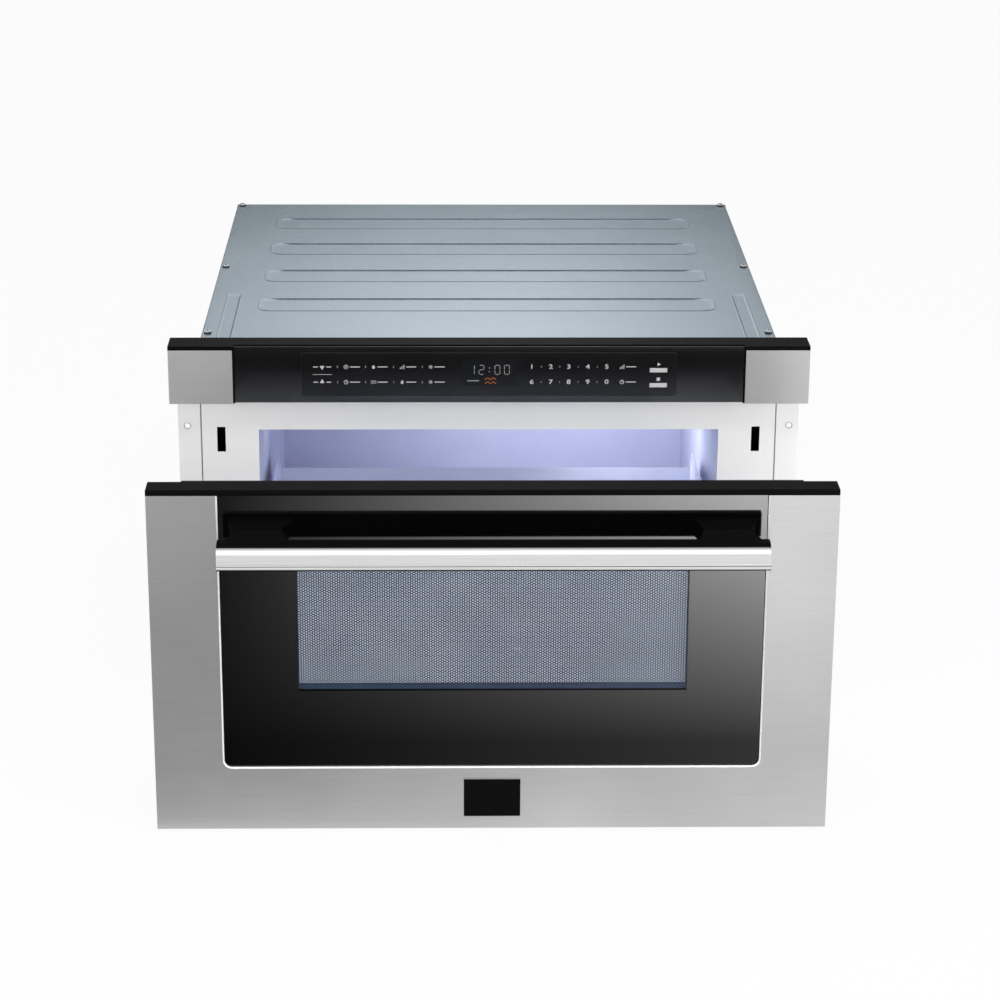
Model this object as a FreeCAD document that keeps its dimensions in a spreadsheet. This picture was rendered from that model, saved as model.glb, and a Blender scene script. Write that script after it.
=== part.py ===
import FreeCAD, Part
import math
import os
import re

import Sketcher

# A built-in microwave drawer. X runs to the right, Y runs back into the cabinet and Z runs up.
# The origin is the centre of the case's underside. The drawer is drawn part way open.

# Driving sizes in millimetres.
SIZES = {
    # Case of galvanised sheet.
    "overall_width": 606,
    "case_side_gap": 26.8,
    "case_depth": 560,
    "roof_gap": 21.6,
    "case_sheet": 1,
    "base_sheet": 2,
    "face_sheet": 1.2,
    "cradle_width": 353,
    "cradle_inset": 30,
    "vent_width": 110,
    "vent_inset": 77,
    "vent_slot": 5,
    "vent_pitch": 14,
    # Ribs pressed down into the top of the case.
    "rib_gap": 18.5,
    "rib_width": 47,
    "rib_pitch": 110,
    "rear_rib_inset": 89.7,
    "rib_depth": 2,
    "rib_corner": 18,
    "edge_rib_width": 15,
    "edge_rib_inset": 22.7,
    "edge_rib_length": 170,
    "edge_rib_setback": 12,
    # Flanges that screw to the front of the kitchen cabinet.
    "flange_reach": 21.2,
    "flange_sheet": 1.5,
    "flange_return": 20,
    "flange_bottom": 20,
    "flange_drop": 10.8,
    "flange_hole_radius": 2.5,
    "flange_hole_inset": 12.4,
    "flange_hole_low": 60,
    "flange_hole_spacing": 241.9,
    # Cooking cavity.
    "cavity_side_gap": 55.55,
    "cavity_height": 183.1,
    "cavity_floor": 114.9,
    "cavity_depth": 420.6,
    "cavity_sheet": 1.2,
    # Waveguide, magnetron and stirrer above and behind the cavity.
    "guide_width": 90,
    "guide_height": 42,
    "guide_front_inset": 169,
    "guide_tail": 25.2,
    "port_radius": 30,
    "stirrer_inset": 218.8,
    "stirrer_radius": 68,
    "stirrer_drop": 12,
    "stirrer_hub_radius": 9,
    "stirrer_hub_height": 10,
    "paddle_width": 34,
    "blade_sheet": 1.6,
    "shaft_radius": 3,
    "shaft_hole_gap": 1,
    "running_fit": 0.05,
    "stirrer_motor_radius": 25,
    "stirrer_motor_height": 20,
    "cover_width": 170,
    "cover_depth": 24,
    "cover_sheet": 1.6,
    "magnetron_width": 94,
    "magnetron_depth": 84,
    "magnetron_height": 92,
    "magnetron_gap": 10,
    "magnetron_sheet": 2,
    "magnetron_core_radius": 20,
    "fin_depth": 67,
    "antenna_radius": 8,
    "antenna_height": 26,
    "antenna_hole_gap": 3,
    "fin_pitch": 9,
    "fin_thickness": 1.5,
    "fin_margin": 12,
    # Lamp beside the cavity.
    "lamp_length": 44,
    "lamp_height": 34,
    "lamp_depth": 32,
    "lamp_floor": 232,
    "lamp_wall": 1.5,
    "lamp_port_radius": 9,
    "bulb_radius": 6,
    "bulb_length": 18,
    "socket_radius": 7.2,
    "socket_length": 6,
    # Cooling fan on the back panel and its duct.
    "fan_centre_inset": 131,
    "fan_centre_height": 245,
    "fan_size": 112,
    "fan_depth": 34,
    "fan_bore_radius": 51,
    "fan_tip_gap": 3,
    "fan_hub_radius": 15,
    "fan_blade_depth": 14,
    "fan_hub_gap": 4,
    "fan_arm_width": 6,
    "fan_arm_depth": 3,
    "fan_motor_radius": 20,
    "fan_motor_depth": 24,
    "duct_wall": 1.5,
    "duct_height": 80,
    "duct_gap": 4,
    "duct_mouth_gap": 1,
    # High-voltage parts and filter board on the base.
    "transformer_width": 100,
    "transformer_depth": 84,
    "transformer_height": 88,
    "transformer_inset": 110,
    "coil_width": 62,
    "coil_height": 50,
    "coil_reach": 9,
    "capacitor_width": 52,
    "capacitor_depth": 34,
    "capacitor_height": 92,
    "capacitor_gap": 22,
    "filter_width": 110,
    "filter_depth": 84,
    "filter_inset": 30,
    "filter_part_height": 20,
    "post_height": 8,
    "post_radius": 4,
    "part_back_inset": 14,
    "gland_radius": 11,
    "gland_bore_radius": 5,
    "gland_height": 70,
    "gland_inset": 60,
    "gland_reach": 10,
    "gland_rim": 4,
    "gland_rim_depth": 3,
    # Control panel.
    "front_depth": 25,
    "panel_rise": 1.6,
    "panel_height": 52.8,
    "cap_depth": 30.6,
    "cap_height": 3.9,
    "end_cap_width": 60.6,
    "panel_seam": 1.6,
    "skin_sheet": 1,
    "glass_recess": 3,
    "panel_glass_sheet": 3,
    "panel_glass_drop": 1,
    "panel_glass_gap": 0.6,
    "touch_width": 355,
    "touch_height": 43,
    "touch_rise": 6.9,
    "touch_sheet": 1.2,
    "display_width": 60,
    "display_height": 30,
    "display_depth": 7,
    "board_width": 330,
    "board_height": 42,
    "board_sheet": 1.6,
    "board_post_radius": 3.2,
    "chip_width": 16,
    "chip_height": 3,
    "housing_wall": 2,
    # Drawer front.
    "drawer_open": 237.2,
    "drawer_travel": 380,
    "seal_gap": 0.5,
    "inner_plate_sheet": 2.8,
    "inner_plate_side_gap": 29.5,
    "inner_plate_rise": 16,
    "door_depth": 23.7,
    "door_bottom": 4,
    "panel_gap": 2.8,
    "top_cap_height": 5.1,
    "door_side_width": 62.3,
    "door_border_height": 60.9,
    "opening_corner": 7,
    "door_glass_sheet": 4,
    "glass_clearance": 0.4,
    "window_width": 346,
    "window_rise": 73.3,
    "window_height": 128,
    "screen_sheet": 0.8,
    "screen_margin": 14,
    "core_sheet": 1.2,
    "choke_depth": 3.5,
    "choke_clearance": 3,
    # Drawer tray.
    "tray_side_gap": 8.6,
    "tray_floor_gap": 3.6,
    "tray_rear_gap": 3.6,
    "tray_sheet": 1.5,
    "tray_height": 127.5,
    "tray_corner_height": 99.5,
    "tray_rear_height": 77.5,
    "tray_corner_run": 14,
    "ceramic_sheet": 4,
    "ceramic_margin": 4,
    # Handle and badge plate.
    "handle_end_gap": 1.7,
    "handle_drop": 29.4,
    "handle_height": 22,
    "handle_thickness": 21,
    "handle_reach": 30,
    "handle_bevel": 4,
    "bracket_width": 58,
    "bracket_inset": 4,
    "bracket_height": 16,
    "bracket_taper": 8,
    "screw_radius": 2.5,
    "screw_spacing": 24,
    "screw_bite": 14,
    "screw_gap": 0.5,
    "screw_post_wall": 3,
    "screw_head_radius": 4.5,
    "screw_head_height": 2.5,
    "badge_width": 51,
    "badge_height": 36,
    "badge_sheet": 1.2,
    # Telescopic rails under the cavity.
    "rail_length": 400,
    "rail_height": 46,
    "rail_thickness": 12.7,
    "rail_sheet": 1.5,
    "rail_play": 0.5,
    "rail_floor": 49,
    "rail_inset": 27.5,
    "rail_setback": 4,
    "support_sheet": 2,
    "support_foot": 18,
    "arm_sheet": 2,
    "arm_length": 110,
    "arm_flange": 30,
    "slot_clearance": 3,
    # Rack and pinion drive.
    "gear_module": 2,
    "gear_backlash": 0.5,
    "tooth_overlap": 0.4,
    "gear_width": 12,
    "rack_web": 10,
    "rack_floor": 70,
    "rack_flange": 36,
    "pinion_setback": 40,
    "pinion_shaft_radius": 4,
    "gearbox_width": 56,
    "gearbox_length": 50,
    "gearbox_gap": 4,
    "shaft_engagement": 16,
    "motor_radius": 18,
    "motor_length": 52,
    "guide_wall": 5,
    "guide_play": 0.5,
    # Latch hooks and interlock housings.
    "latch_inset": 19.7,
    "latch_slot_width": 8,
    "latch_slot_height": 25,
    "latch_slot_drop": 22.3,
    "hook_sheet": 4,
    "hook_height": 9,
    "hook_reach": 22,
    "hook_tip": 4,
    "pivot_radius": 2.5,
    "pivot_setback": 8,
    "ear_sheet": 3,
    "ear_gap": 0.4,
    "pivot_wall": 2,
    "interlock_depth": 40,
    "interlock_wall": 2.5,
    "interlock_margin": 9,
    "switch_width": 8,
    # Screws on top of the case.
    "case_screw_radius": 3.5,
    "case_screw_height": 2,
    "case_screw_inset": 6.2,
    "front_screw_setback": 40,
}

RIB_COUNT = 4
PINION_TEETH = 16
FAN_BLADES = 7
STIRRER_BLADES = 4
FIN_COUNT = 6
VENT_ROWS = 7

doc = FreeCAD.newDocument("microwave_drawer")
sheet = doc.addObject("Spreadsheet::Sheet", "Sizes")
for row, (alias, value) in enumerate(SIZES.items(), start=1):
    sheet.set(f"A{row}", alias)
    sheet.set(f"B{row}", str(value))
    sheet.setAlias(f"B{row}", alias)
doc.recompute()

nodes = []


# ---- Helpers --------------------------------------------------------------------------------

def bind(item, setting, formula):
    """Bind a setting of an object to a formula written in the sheet's names."""
    def cell(match):
        word = match.group()
        return f"Sizes.{word}" if word in SIZES else word
    item.setExpression(setting, re.sub(r"[a-z][a-z_]*", cell, formula))


def block(x, y, z):
    """Make a box between two formulas along each axis."""
    box = doc.addObject("Part::Box", "Block")
    for setting, (low, high) in zip(("Length", "Width", "Height"), (x, y, z)):
        bind(box, setting, f"({high}) - ({low})")
    for axis, (low, high) in zip("xyz", (x, y, z)):
        bind(box, f"Placement.Base.{axis}", low)
    return box


AXIS_TURNS = {
    "x": FreeCAD.Rotation(FreeCAD.Vector(0, 1, 0), 90),
    "y": FreeCAD.Rotation(FreeCAD.Vector(1, 0, 0), -90),
    "z": FreeCAD.Rotation(),
}


def rod(axis, start, radius, length):
    """Make a cylinder that starts at a point and runs along an axis."""
    cylinder = doc.addObject("Part::Cylinder", "Rod")
    cylinder.Placement = FreeCAD.Placement(FreeCAD.Vector(), AXIS_TURNS[axis])
    bind(cylinder, "Radius", radius)
    bind(cylinder, "Height", length)
    for name, place in zip("xyz", start):
        bind(cylinder, f"Placement.Base.{name}", place)
    return cylinder


def join(*pieces):
    """Fuse pieces into one."""
    fuse = doc.addObject("Part::MultiFuse", "Join")
    fuse.Shapes = list(pieces)
    fuse.Refine = True
    return fuse


def cut(base, *tools):
    """Cut tools out of a piece."""
    result = doc.addObject("Part::Cut", "Cut")
    result.Base = base
    result.Tool = tools[0] if len(tools) == 1 else join(*tools)
    result.Refine = True
    return result


def together(*pieces):
    """Keep separate pieces in one node."""
    compound = doc.addObject("Part::Compound", "Set")
    compound.Links = list(pieces)
    return compound


def origin_plane(body, role):
    """Find one of a body's own origin planes."""
    for feature in body.Origin.OriginFeatures:
        if feature.Role == role:
            return feature
    raise ValueError(role)


def pin_point(sketch, edge, end, place):
    """Hold a sketch point at two formulas."""
    for kind, formula in zip(("DistanceX", "DistanceY"), place):
        index = sketch.addConstraint(Sketcher.Constraint(kind, -1, 1, edge, end, 1.0))
        name = f"{kind}{index}"
        sketch.renameConstraint(index, name)
        bind(sketch, f"Constraints.{name}", formula)


def draw_loop(sketch, points):
    """Draw a closed loop of straight edges through points."""
    first = sketch.GeometryCount
    count = len(points)
    turns = [2 * math.pi * step / count for step in range(count + 1)]
    corners = [FreeCAD.Vector(math.cos(turn), math.sin(turn), 0) for turn in turns]
    for start, end in zip(corners, corners[1:]):
        sketch.addGeometry(Part.LineSegment(start, end), False)
    for step in range(count):
        after = first + (step + 1) % count
        sketch.addConstraint(Sketcher.Constraint("Coincident", first + step, 2, after, 1))
    for step, place in enumerate(points):
        pin_point(sketch, first + step, 1, place)


def draw_circle(sketch, centre, radius):
    """Draw a circle with its centre and radius held."""
    circle = Part.Circle(FreeCAD.Vector(), FreeCAD.Vector(0, 0, 1), 1)
    edge = sketch.addGeometry(circle, False)
    pin_point(sketch, edge, 3, centre)
    index = sketch.addConstraint(Sketcher.Constraint("Radius", edge, 1.0))
    sketch.renameConstraint(index, f"Radius{index}")
    bind(sketch, f"Constraints.Radius{index}", radius)


def draw(body, plane, offset, loops):
    """Add a sketch to a body. A loop is a list of points or a centre with a radius."""
    sketch = body.newObject("Sketcher::SketchObject", "Sketch")
    sketch.AttachmentSupport = [(origin_plane(body, plane), "")]
    sketch.MapMode = "FlatFace"
    bind(sketch, "AttachmentOffset.Base.z", offset)
    for loop in loops:
        if len(loop) == 2:
            draw_circle(sketch, *loop)
        else:
            draw_loop(sketch, loop)
    return sketch


def pad(body, plane, low, high, *loops):
    """Add material between two heights over a plane. The XZ plane faces -Y."""
    offset = f"-({high})" if plane == "XZ_Plane" else low
    sketch = draw(body, plane, offset, loops)
    feature = body.newObject("PartDesign::Pad", "Pad")
    feature.Profile = sketch
    bind(feature, "Length", f"({high}) - ({low})")
    return feature


def pocket(body, plane, low, high, *loops):
    """Remove material between two heights over a plane, and check that some went."""
    doc.recompute()
    before = body.Shape.Volume
    offset = f"-({low})" if plane == "XZ_Plane" else high
    sketch = draw(body, plane, offset, loops)
    feature = body.newObject("PartDesign::Pocket", "Pocket")
    feature.Profile = sketch
    bind(feature, "Length", f"({high}) - ({low})")
    doc.recompute()
    if body.Shape.Volume >= before:
        raise ValueError(f"{body.Label}: a pocket cut nothing")
    return feature


def new_body():
    """Start an empty body."""
    return doc.addObject("PartDesign::Body", "Body")


def padded(plane, low, high, *loops):
    """Make a body from one pad."""
    body = new_body()
    pad(body, plane, low, high, *loops)
    return body


def rectangle(across, up):
    """List the corners of a rectangle."""
    (left, right), (bottom, top) = across, up
    return [(left, bottom), (right, bottom), (right, top), (left, top)]


def fillet(body, radius, wanted):
    """Round the edges of a body that a test picks."""
    doc.recompute()
    tip = body.Tip
    names = [f"Edge{count}" for count, edge in enumerate(tip.Shape.Edges, start=1) if wanted(edge)]
    feature = body.newObject("PartDesign::Fillet", "Fillet")
    feature.Base = (tip, names)
    bind(feature, "Radius", radius)
    return feature


def runs_along(edge, direction):
    """Test whether an edge is straight and runs along a direction."""
    if not isinstance(edge.Curve, Part.Line):
        return False
    return abs(edge.Curve.Direction.dot(direction)) > 0.999


def finish(label, item):
    """Name a finished sub-part and keep it for export."""
    item.Label = label
    nodes.append(item)
    return item


def centred(width):
    """Span a width about the middle."""
    return (f"-({width}) / 2", f"({width}) / 2")


def around(centre, width):
    """Span a width about a place."""
    return (f"{centre} - ({width}) / 2", f"{centre} + ({width}) / 2")


def on_side(side, near, far):
    """Span from near to far on the left or the right of the middle."""
    return (f"-({far})", f"-({near})") if side == "left" else (near, far)


def signed(side, place):
    """Put a distance from the middle on the left or the right."""
    return f"-({place})" if side == "left" else f"({place})"


SIDES = ("left", "right")
UPRIGHT = FreeCAD.Vector(0, 0, 1)
LENGTHWISE = FreeCAD.Vector(0, 1, 0)
CROSSWISE = FreeCAD.Vector(1, 0, 0)

# ---- Places worked out from the sizes -----------------------------------------------------------

case_front = "(-case_depth / 2)"
case_back = "(case_depth / 2)"
half_overall = "(overall_width / 2)"
half_case = f"({half_overall} - case_side_gap)"
case_span = f"2 * {half_case}"
face_back = f"({case_front} + face_sheet)"
back_inside = f"({case_back} - case_sheet)"

cavity_top = "(cavity_floor + cavity_height)"
cavity_roof = f"({cavity_top} + cavity_sheet)"
cavity_rear = f"({case_front} + cavity_depth)"
cavity_tail = f"({cavity_rear} + cavity_sheet)"
half_cavity = f"({half_case} - cavity_side_gap)"
cavity_underside = "(cavity_floor - cavity_sheet)"

guide_floor = cavity_roof
guide_front = f"({case_front} + guide_front_inset)"
guide_roof = f"({guide_floor} + guide_height)"
case_top = f"({guide_roof} + stirrer_motor_height + roof_gap)"

panel_front = f"({case_front} - front_depth)"
panel_top = f"({case_top} + panel_rise)"
panel_bottom = f"({panel_top} - panel_height)"
cap_top = f"({panel_top} + cap_height)"
end_cap_inner = f"({half_overall} - end_cap_width)"
panel_glass_side = f"({end_cap_inner} - panel_seam)"
panel_glass_front = f"({panel_front} + glass_recess)"
panel_glass_back = f"({panel_glass_front} + panel_glass_sheet)"
touch_back = f"({panel_glass_back} + touch_sheet)"
board_front = f"({touch_back} + display_depth)"
board_back = f"({board_front} + board_sheet)"
housing_front = f"({case_front} - housing_wall)"
touch_floor = f"({panel_bottom} + touch_rise)"
touch_middle = f"({touch_floor} + touch_height / 2)"

door_back = f"({case_front} - seal_gap - drawer_open)"
plate_front = f"({door_back} - inner_plate_sheet)"
door_front = f"({plate_front} - door_depth)"
top_cap_top = f"({panel_bottom} - panel_gap)"
door_top = f"({top_cap_top} - top_cap_height)"
opening_side = f"({half_overall} - door_side_width)"
opening_floor = "(door_bottom + door_border_height)"
glass_front = f"({door_front} + glass_recess)"
glass_back = f"({glass_front} + door_glass_sheet)"
screen_back = f"({glass_back} + screen_sheet)"
core_web = f"({plate_front} - core_sheet)"
window_floor = f"({opening_floor} + window_rise)"
window_top = f"({window_floor} + window_height)"
choke_back = f"({door_back} + choke_depth)"

tray_side = f"({half_cavity} - tray_side_gap)"
tray_underside = "(cavity_floor + tray_floor_gap)"
tray_floor = f"({tray_underside} + tray_sheet)"
tray_back = f"({cavity_rear} - tray_rear_gap - drawer_open)"

handle_top = f"({door_top} - handle_drop)"
handle_floor = f"({handle_top} - handle_height)"
handle_middle = f"({handle_floor} + handle_height / 2)"
half_handle = f"({opening_side} - handle_end_gap)"
handle_back = f"({door_front} - handle_reach)"
handle_front = f"({handle_back} - handle_thickness)"

latch_centre = f"({half_case} - latch_inset)"
latch_slot_floor = f"({cavity_top} - latch_slot_drop)"
latch_slot_middle = f"({latch_slot_floor} + latch_slot_height / 2)"
pivot_place = f"({plate_front} - pivot_setback)"

rail_back_side = f"({half_case} - rail_inset)"
rail_front_side = f"({rail_back_side} - rail_thickness)"
rail_start = f"({case_front} + rail_setback)"
arm_side = f"({rail_front_side} - arm_sheet)"
arm_inner = f"({arm_side} - arm_flange)"

pinion_radius = f"(gear_module * {PINION_TEETH} / 2)"
tooth_pitch = f"(gear_module * {math.pi})"
pinion_centre = f"({case_front} + pinion_setback)"
pitch_value = SIZES["gear_module"] * math.pi
teeth_ahead = math.ceil(SIZES["drawer_open"] / pitch_value) + 3
teeth_behind = math.ceil((SIZES["drawer_travel"] - SIZES["drawer_open"]) / pitch_value) + 2
rack_pitch_side = "(rack_web / 2 + gear_module * 1.25)"
pinion_side = f"({rack_pitch_side} + {pinion_radius})"
rack_top = "(rack_floor + gear_width)"
gearbox_top = "(rack_floor - gearbox_gap)"

stirrer_place = f"({case_front} + stirrer_inset)"
stirrer_level = f"({cavity_top} - stirrer_drop)"
magnetron_front = f"({cavity_tail} + magnetron_gap)"
magnetron_middle = f"({magnetron_front} + magnetron_depth / 2)"
magnetron_back = f"({magnetron_front} + magnetron_depth)"
guide_back = f"({magnetron_middle} + guide_tail)"
magnetron_floor = f"({guide_floor} - magnetron_height)"

fan_middle = f"(-{half_case} + fan_centre_inset)"
fan_front = f"({back_inside} - fan_depth)"


# ---- Case ---------------------------------------------------------------------------------------

def case_wrap():
    """Fold the top and both sides from one sheet and press the ribs down into its top."""
    inner = f"({half_case} - case_sheet)"
    floor = "base_sheet"
    body = padded(
        "XZ_Plane", face_back, back_inside,
        [
            (f"-{half_case}", floor), (f"-{inner}", floor),
            (f"-{inner}", f"{case_top} - case_sheet"), (inner, f"{case_top} - case_sheet"),
            (inner, floor), (half_case, floor), (half_case, case_top), (f"-{half_case}", case_top),
        ],
    )
    half_rib = f"({half_case} - edge_rib_inset - edge_rib_width / 2 - rib_gap)"
    for step in range(RIB_COUNT):
        middle = f"({case_back} - rear_rib_inset - {step} * rib_pitch)"
        press_rib(body, (f"-{half_rib}", half_rib), around(middle, "rib_width"))
    doc.recompute()
    pressed = body.Shape.BoundBox.ZMax - SIZES["rib_depth"]
    fillet(
        body, "rib_corner",
        lambda edge: runs_along(edge, UPRIGHT) and edge.BoundBox.ZMin > pressed - 0.1,
    )
    rib_start = f"({case_front} + edge_rib_setback)"
    for side in SIDES:
        x = around(signed(side, f"{half_case} - edge_rib_inset"), "edge_rib_width")
        press_rib(body, x, (rib_start, f"{rib_start} + edge_rib_length"))
    finish("outer_case", body)


def press_rib(body, x, y):
    """Press one rib down into the top of the case, with a wall of sheet round it."""
    wide = [(f"{low} - case_sheet", f"{high} + case_sheet") for low, high in (x, y)]
    floor = f"{case_top} - rib_depth"
    pad(body, "XY_Plane", f"{floor} - case_sheet", f"{case_top} - case_sheet", rectangle(*wide))
    pocket(body, "XY_Plane", floor, case_top, rectangle(x, y))


def base():
    """Close the underside. Its rear cradle carries the cavity and lets the rack through."""
    plate = padded(
        "XY_Plane", "0", "base_sheet",
        rectangle(centred(case_span), (case_front, case_back)),
    )
    cradle_front = f"({cavity_rear} - cradle_inset)"
    cradle = padded(
        "XZ_Plane", cradle_front, f"{cradle_front} + base_sheet",
        rectangle(centred("cradle_width"), ("base_sheet", cavity_underside)),
        rectangle(
            ("-rack_web / 2 - guide_wall", f"{rack_pitch_side} + gear_module + guide_wall"),
            ("rack_floor - guide_wall", f"{rack_top} + guide_wall"),
        ),
    )
    finish("base_plate", join(plate, cradle))


def rear_panel():
    """Close the back. It has the fan's grille, vent slots and the hole for the supply lead."""
    holes = []
    vent_right = f"({half_case} - vent_inset)"
    for step in range(VENT_ROWS):
        level = f"(fan_centre_height + ({step} - {(VENT_ROWS - 1) / 2}) * vent_pitch)"
        z = around(level, "vent_slot")
        holes.append(rectangle((f"{vent_right} - vent_width", vent_right), z))
        if 0 < step < VENT_ROWS - 1:
            holes.append(rectangle(around(fan_middle, "fan_bore_radius * sqrt(2)"), z))
    gland_place = (f"-{half_case} + gland_inset", "gland_height")
    body = padded(
        "XZ_Plane", back_inside, case_back,
        rectangle(centred(case_span), ("base_sheet", case_top)),
        (gland_place, "gland_radius"),
        *holes,
    )
    finish("back_panel", body)


def arm_hole(side):
    """Span the hole in the front plate that lets a rail and its arm through."""
    x = on_side(side, f"{arm_inner} - slot_clearance", f"{rail_back_side} + rail_play")
    z = ("rail_floor - slot_clearance", "rail_floor + rail_height + slot_clearance")
    return rectangle(x, z)


def front_plate():
    """Face the case around the cavity, with holes for the latches, the rails and the rack."""
    loops = [
        rectangle(centred(case_span), ("base_sheet", case_top)),
        rectangle(centred(f"2 * {half_cavity}"), ("cavity_floor", cavity_top)),
        rectangle(
            centred("rack_flange + 2 * slot_clearance"),
            ("rack_floor - slot_clearance", f"{rack_top} + slot_clearance"),
        ),
    ]
    for side in SIDES:
        loops.append(latch_slot(side))
        loops.append(arm_hole(side))
    finish("face_plate", padded("XZ_Plane", case_front, face_back, *loops))


def latch_slot(side):
    """Span the slot that lets a latch hook through."""
    x = around(signed(side, latch_centre), "latch_slot_width")
    return rectangle(x, (latch_slot_floor, f"{latch_slot_floor} + latch_slot_height"))


def mounting_flange(side):
    """Fold an angle whose front leg takes two screws and whose other leg lies on the case."""
    body = padded(
        "XY_Plane", "flange_bottom", f"{case_top} - flange_drop",
        [
            (signed(side, half_case), case_front),
            (signed(side, f"{half_case} + flange_reach"), case_front),
            (signed(side, f"{half_case} + flange_reach"), f"{case_front} + flange_sheet"),
            (signed(side, f"{half_case} + flange_sheet"), f"{case_front} + flange_sheet"),
            (signed(side, f"{half_case} + flange_sheet"), f"{case_front} + flange_return"),
            (signed(side, half_case), f"{case_front} + flange_return"),
        ],
    )
    x = signed(side, f"{half_case} + flange_hole_inset")
    upper = "flange_hole_low + flange_hole_spacing"
    for z in ("flange_hole_low", upper):
        pocket(
            body, "XZ_Plane", case_front, f"{case_front} + flange_sheet",
            ((x, z), "flange_hole_radius"),
        )
    finish(f"mount_flange_{side}", body)


def case_screws():
    """Set six low screw heads on the top of the case."""
    heads = []
    for y in (f"{case_back} - case_screw_inset", "case_screw_inset", f"{case_front} + front_screw_setback"):
        for side in SIDES:
            x = signed(side, f"{half_case} - case_screw_inset")
            heads.append(rod("z", (x, y, case_top), "case_screw_radius", "case_screw_height"))
    finish("case_screws", together(*heads))


# ---- Cavity and microwave source ----------------------------------------------------------------

def cavity():
    """Weld the cooking cavity behind the front plate. Its roof has the waveguide's port."""
    outside = block(
        (f"-{half_cavity} - cavity_sheet", f"{half_cavity} + cavity_sheet"),
        (face_back, cavity_tail),
        (cavity_underside, cavity_roof),
    )
    inside = block((f"-{half_cavity}", half_cavity), (case_front, cavity_rear), ("cavity_floor", cavity_top))
    port = rod("z", ("0", stirrer_place, cavity_top), "port_radius", "cavity_sheet * 2")
    lamp_hole = rod(
        "x", (half_cavity, lamp_middle, lamp_level), "lamp_port_radius", "cavity_sheet * 2",
    )
    finish("cavity_shell", cut(outside, inside, port, lamp_hole))


def waveguide():
    """Lead microwaves from the magnetron's antenna over the roof to the port."""
    outside = block(centred("guide_width"), (guide_front, guide_back), (guide_floor, guide_roof))
    inside = block(
        centred("guide_width - 2 * cavity_sheet"),
        (f"{guide_front} + cavity_sheet", f"{guide_back} - cavity_sheet"),
        (f"{guide_floor} + cavity_sheet", f"{guide_roof} - cavity_sheet"),
    )
    port = rod("z", ("0", stirrer_place, f"{guide_floor} - 1"), "port_radius", "cavity_sheet + 2")
    shaft_hole = rod(
        "z", ("0", stirrer_place, f"{guide_roof} - cavity_sheet - 1"),
        "shaft_radius + shaft_hole_gap", "cavity_sheet + 2",
    )
    antenna_hole = rod(
        "z", ("0", magnetron_middle, f"{guide_floor} - 1"),
        "antenna_radius + antenna_hole_gap", "cavity_sheet + 2",
    )
    finish("waveguide", cut(outside, inside, port, shaft_hole, antenna_hole))


def magnetron():
    """Hang the magnetron under the waveguide, with cooling fins and its antenna upright."""
    y = (magnetron_front, magnetron_back)
    fin_floor = f"({magnetron_floor} + fin_margin)"
    solids = [
        block(centred("magnetron_width"), y, (f"{guide_floor} - magnetron_sheet", guide_floor)),
        block(centred("magnetron_width"), y, (magnetron_floor, f"{magnetron_floor} + magnetron_sheet")),
        rod("z", ("0", magnetron_middle, magnetron_floor), "magnetron_core_radius", "magnetron_height"),
        rod("z", ("0", magnetron_middle, guide_floor), "antenna_radius", "antenna_height"),
    ]
    for end in ("-magnetron_width / 2", "magnetron_width / 2 - magnetron_sheet"):
        solids.append(block((end, f"{end} + magnetron_sheet"), y, (magnetron_floor, guide_floor)))
    for step in range(FIN_COUNT):
        low = f"({fin_floor} + {step} * fin_pitch)"
        deep = around(magnetron_middle, "fin_depth")
        solids.append(block(centred("magnetron_width"), deep, (low, f"{low} + fin_thickness")))
    finish("magnetron", join(*solids))


def stirrer():
    """Turn four paddles under the roof from a motor on the waveguide."""
    motor = rod("z", ("0", stirrer_place, guide_roof), "stirrer_motor_radius", "stirrer_motor_height")
    bore = rod(
        "z", ("0", stirrer_place, f"{guide_roof} - 1"),
        "shaft_radius + running_fit", "stirrer_motor_height * 0.6 + 1",
    )
    finish("stirrer_motor", cut(motor, bore))
    shaft_end = f"{guide_roof} + stirrer_motor_height * 0.55"
    blade = new_body()
    pad(blade, "XY_Plane", stirrer_level, shaft_end, (("0", "0"), "shaft_radius"))
    pad(blade, "XY_Plane", *around(stirrer_level, "stirrer_hub_height"), (("0", "0"), "stirrer_hub_radius"))
    paddle = pad(
        blade, "XY_Plane", *around(stirrer_level, "blade_sheet"),
        [
            ("stirrer_hub_radius / 2", "-paddle_width / 4"), ("stirrer_radius", "-paddle_width / 2"),
            ("stirrer_radius", "paddle_width / 2"), ("stirrer_hub_radius / 2", "paddle_width / 4"),
        ],
    )
    pattern_round(blade, paddle, STIRRER_BLADES)
    bind(blade, "Placement.Base.y", stirrer_place)
    finish("stirrer_blade", blade)


def pattern_round(body, feature, count):
    """Repeat a feature around the body's own upright axis."""
    pattern = body.newObject("PartDesign::PolarPattern", "PolarPattern")
    pattern.Originals = [feature]
    pattern.Axis = (body.Origin.OriginFeatures[2], [""])
    pattern.Angle = 360
    pattern.Occurrences = count
    body.Tip = pattern


def pattern_back(body, feature, spacing, count):
    """Repeat a feature along the body's own Y axis."""
    pattern = body.newObject("PartDesign::LinearPattern", "LinearPattern")
    pattern.Originals = [feature]
    pattern.Direction = (body.Origin.OriginFeatures[1], [""])
    pattern.Mode = "Spacing"
    bind(pattern, "Offset", spacing)
    pattern.Occurrences = count
    body.Tip = pattern


def stirrer_cover():
    """Cover the stirrer with a shallow cup that hangs from the roof."""
    floor = f"({cavity_top} - cover_depth)"
    outside = block(centred("cover_width"), around(stirrer_place, "cover_width"), (floor, cavity_top))
    inner = "cover_width - 2 * cover_sheet"
    inside = block(centred(inner), around(stirrer_place, inner), (f"{floor} + cover_sheet", cavity_top))
    finish("stirrer_cover", cut(outside, inside))


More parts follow.
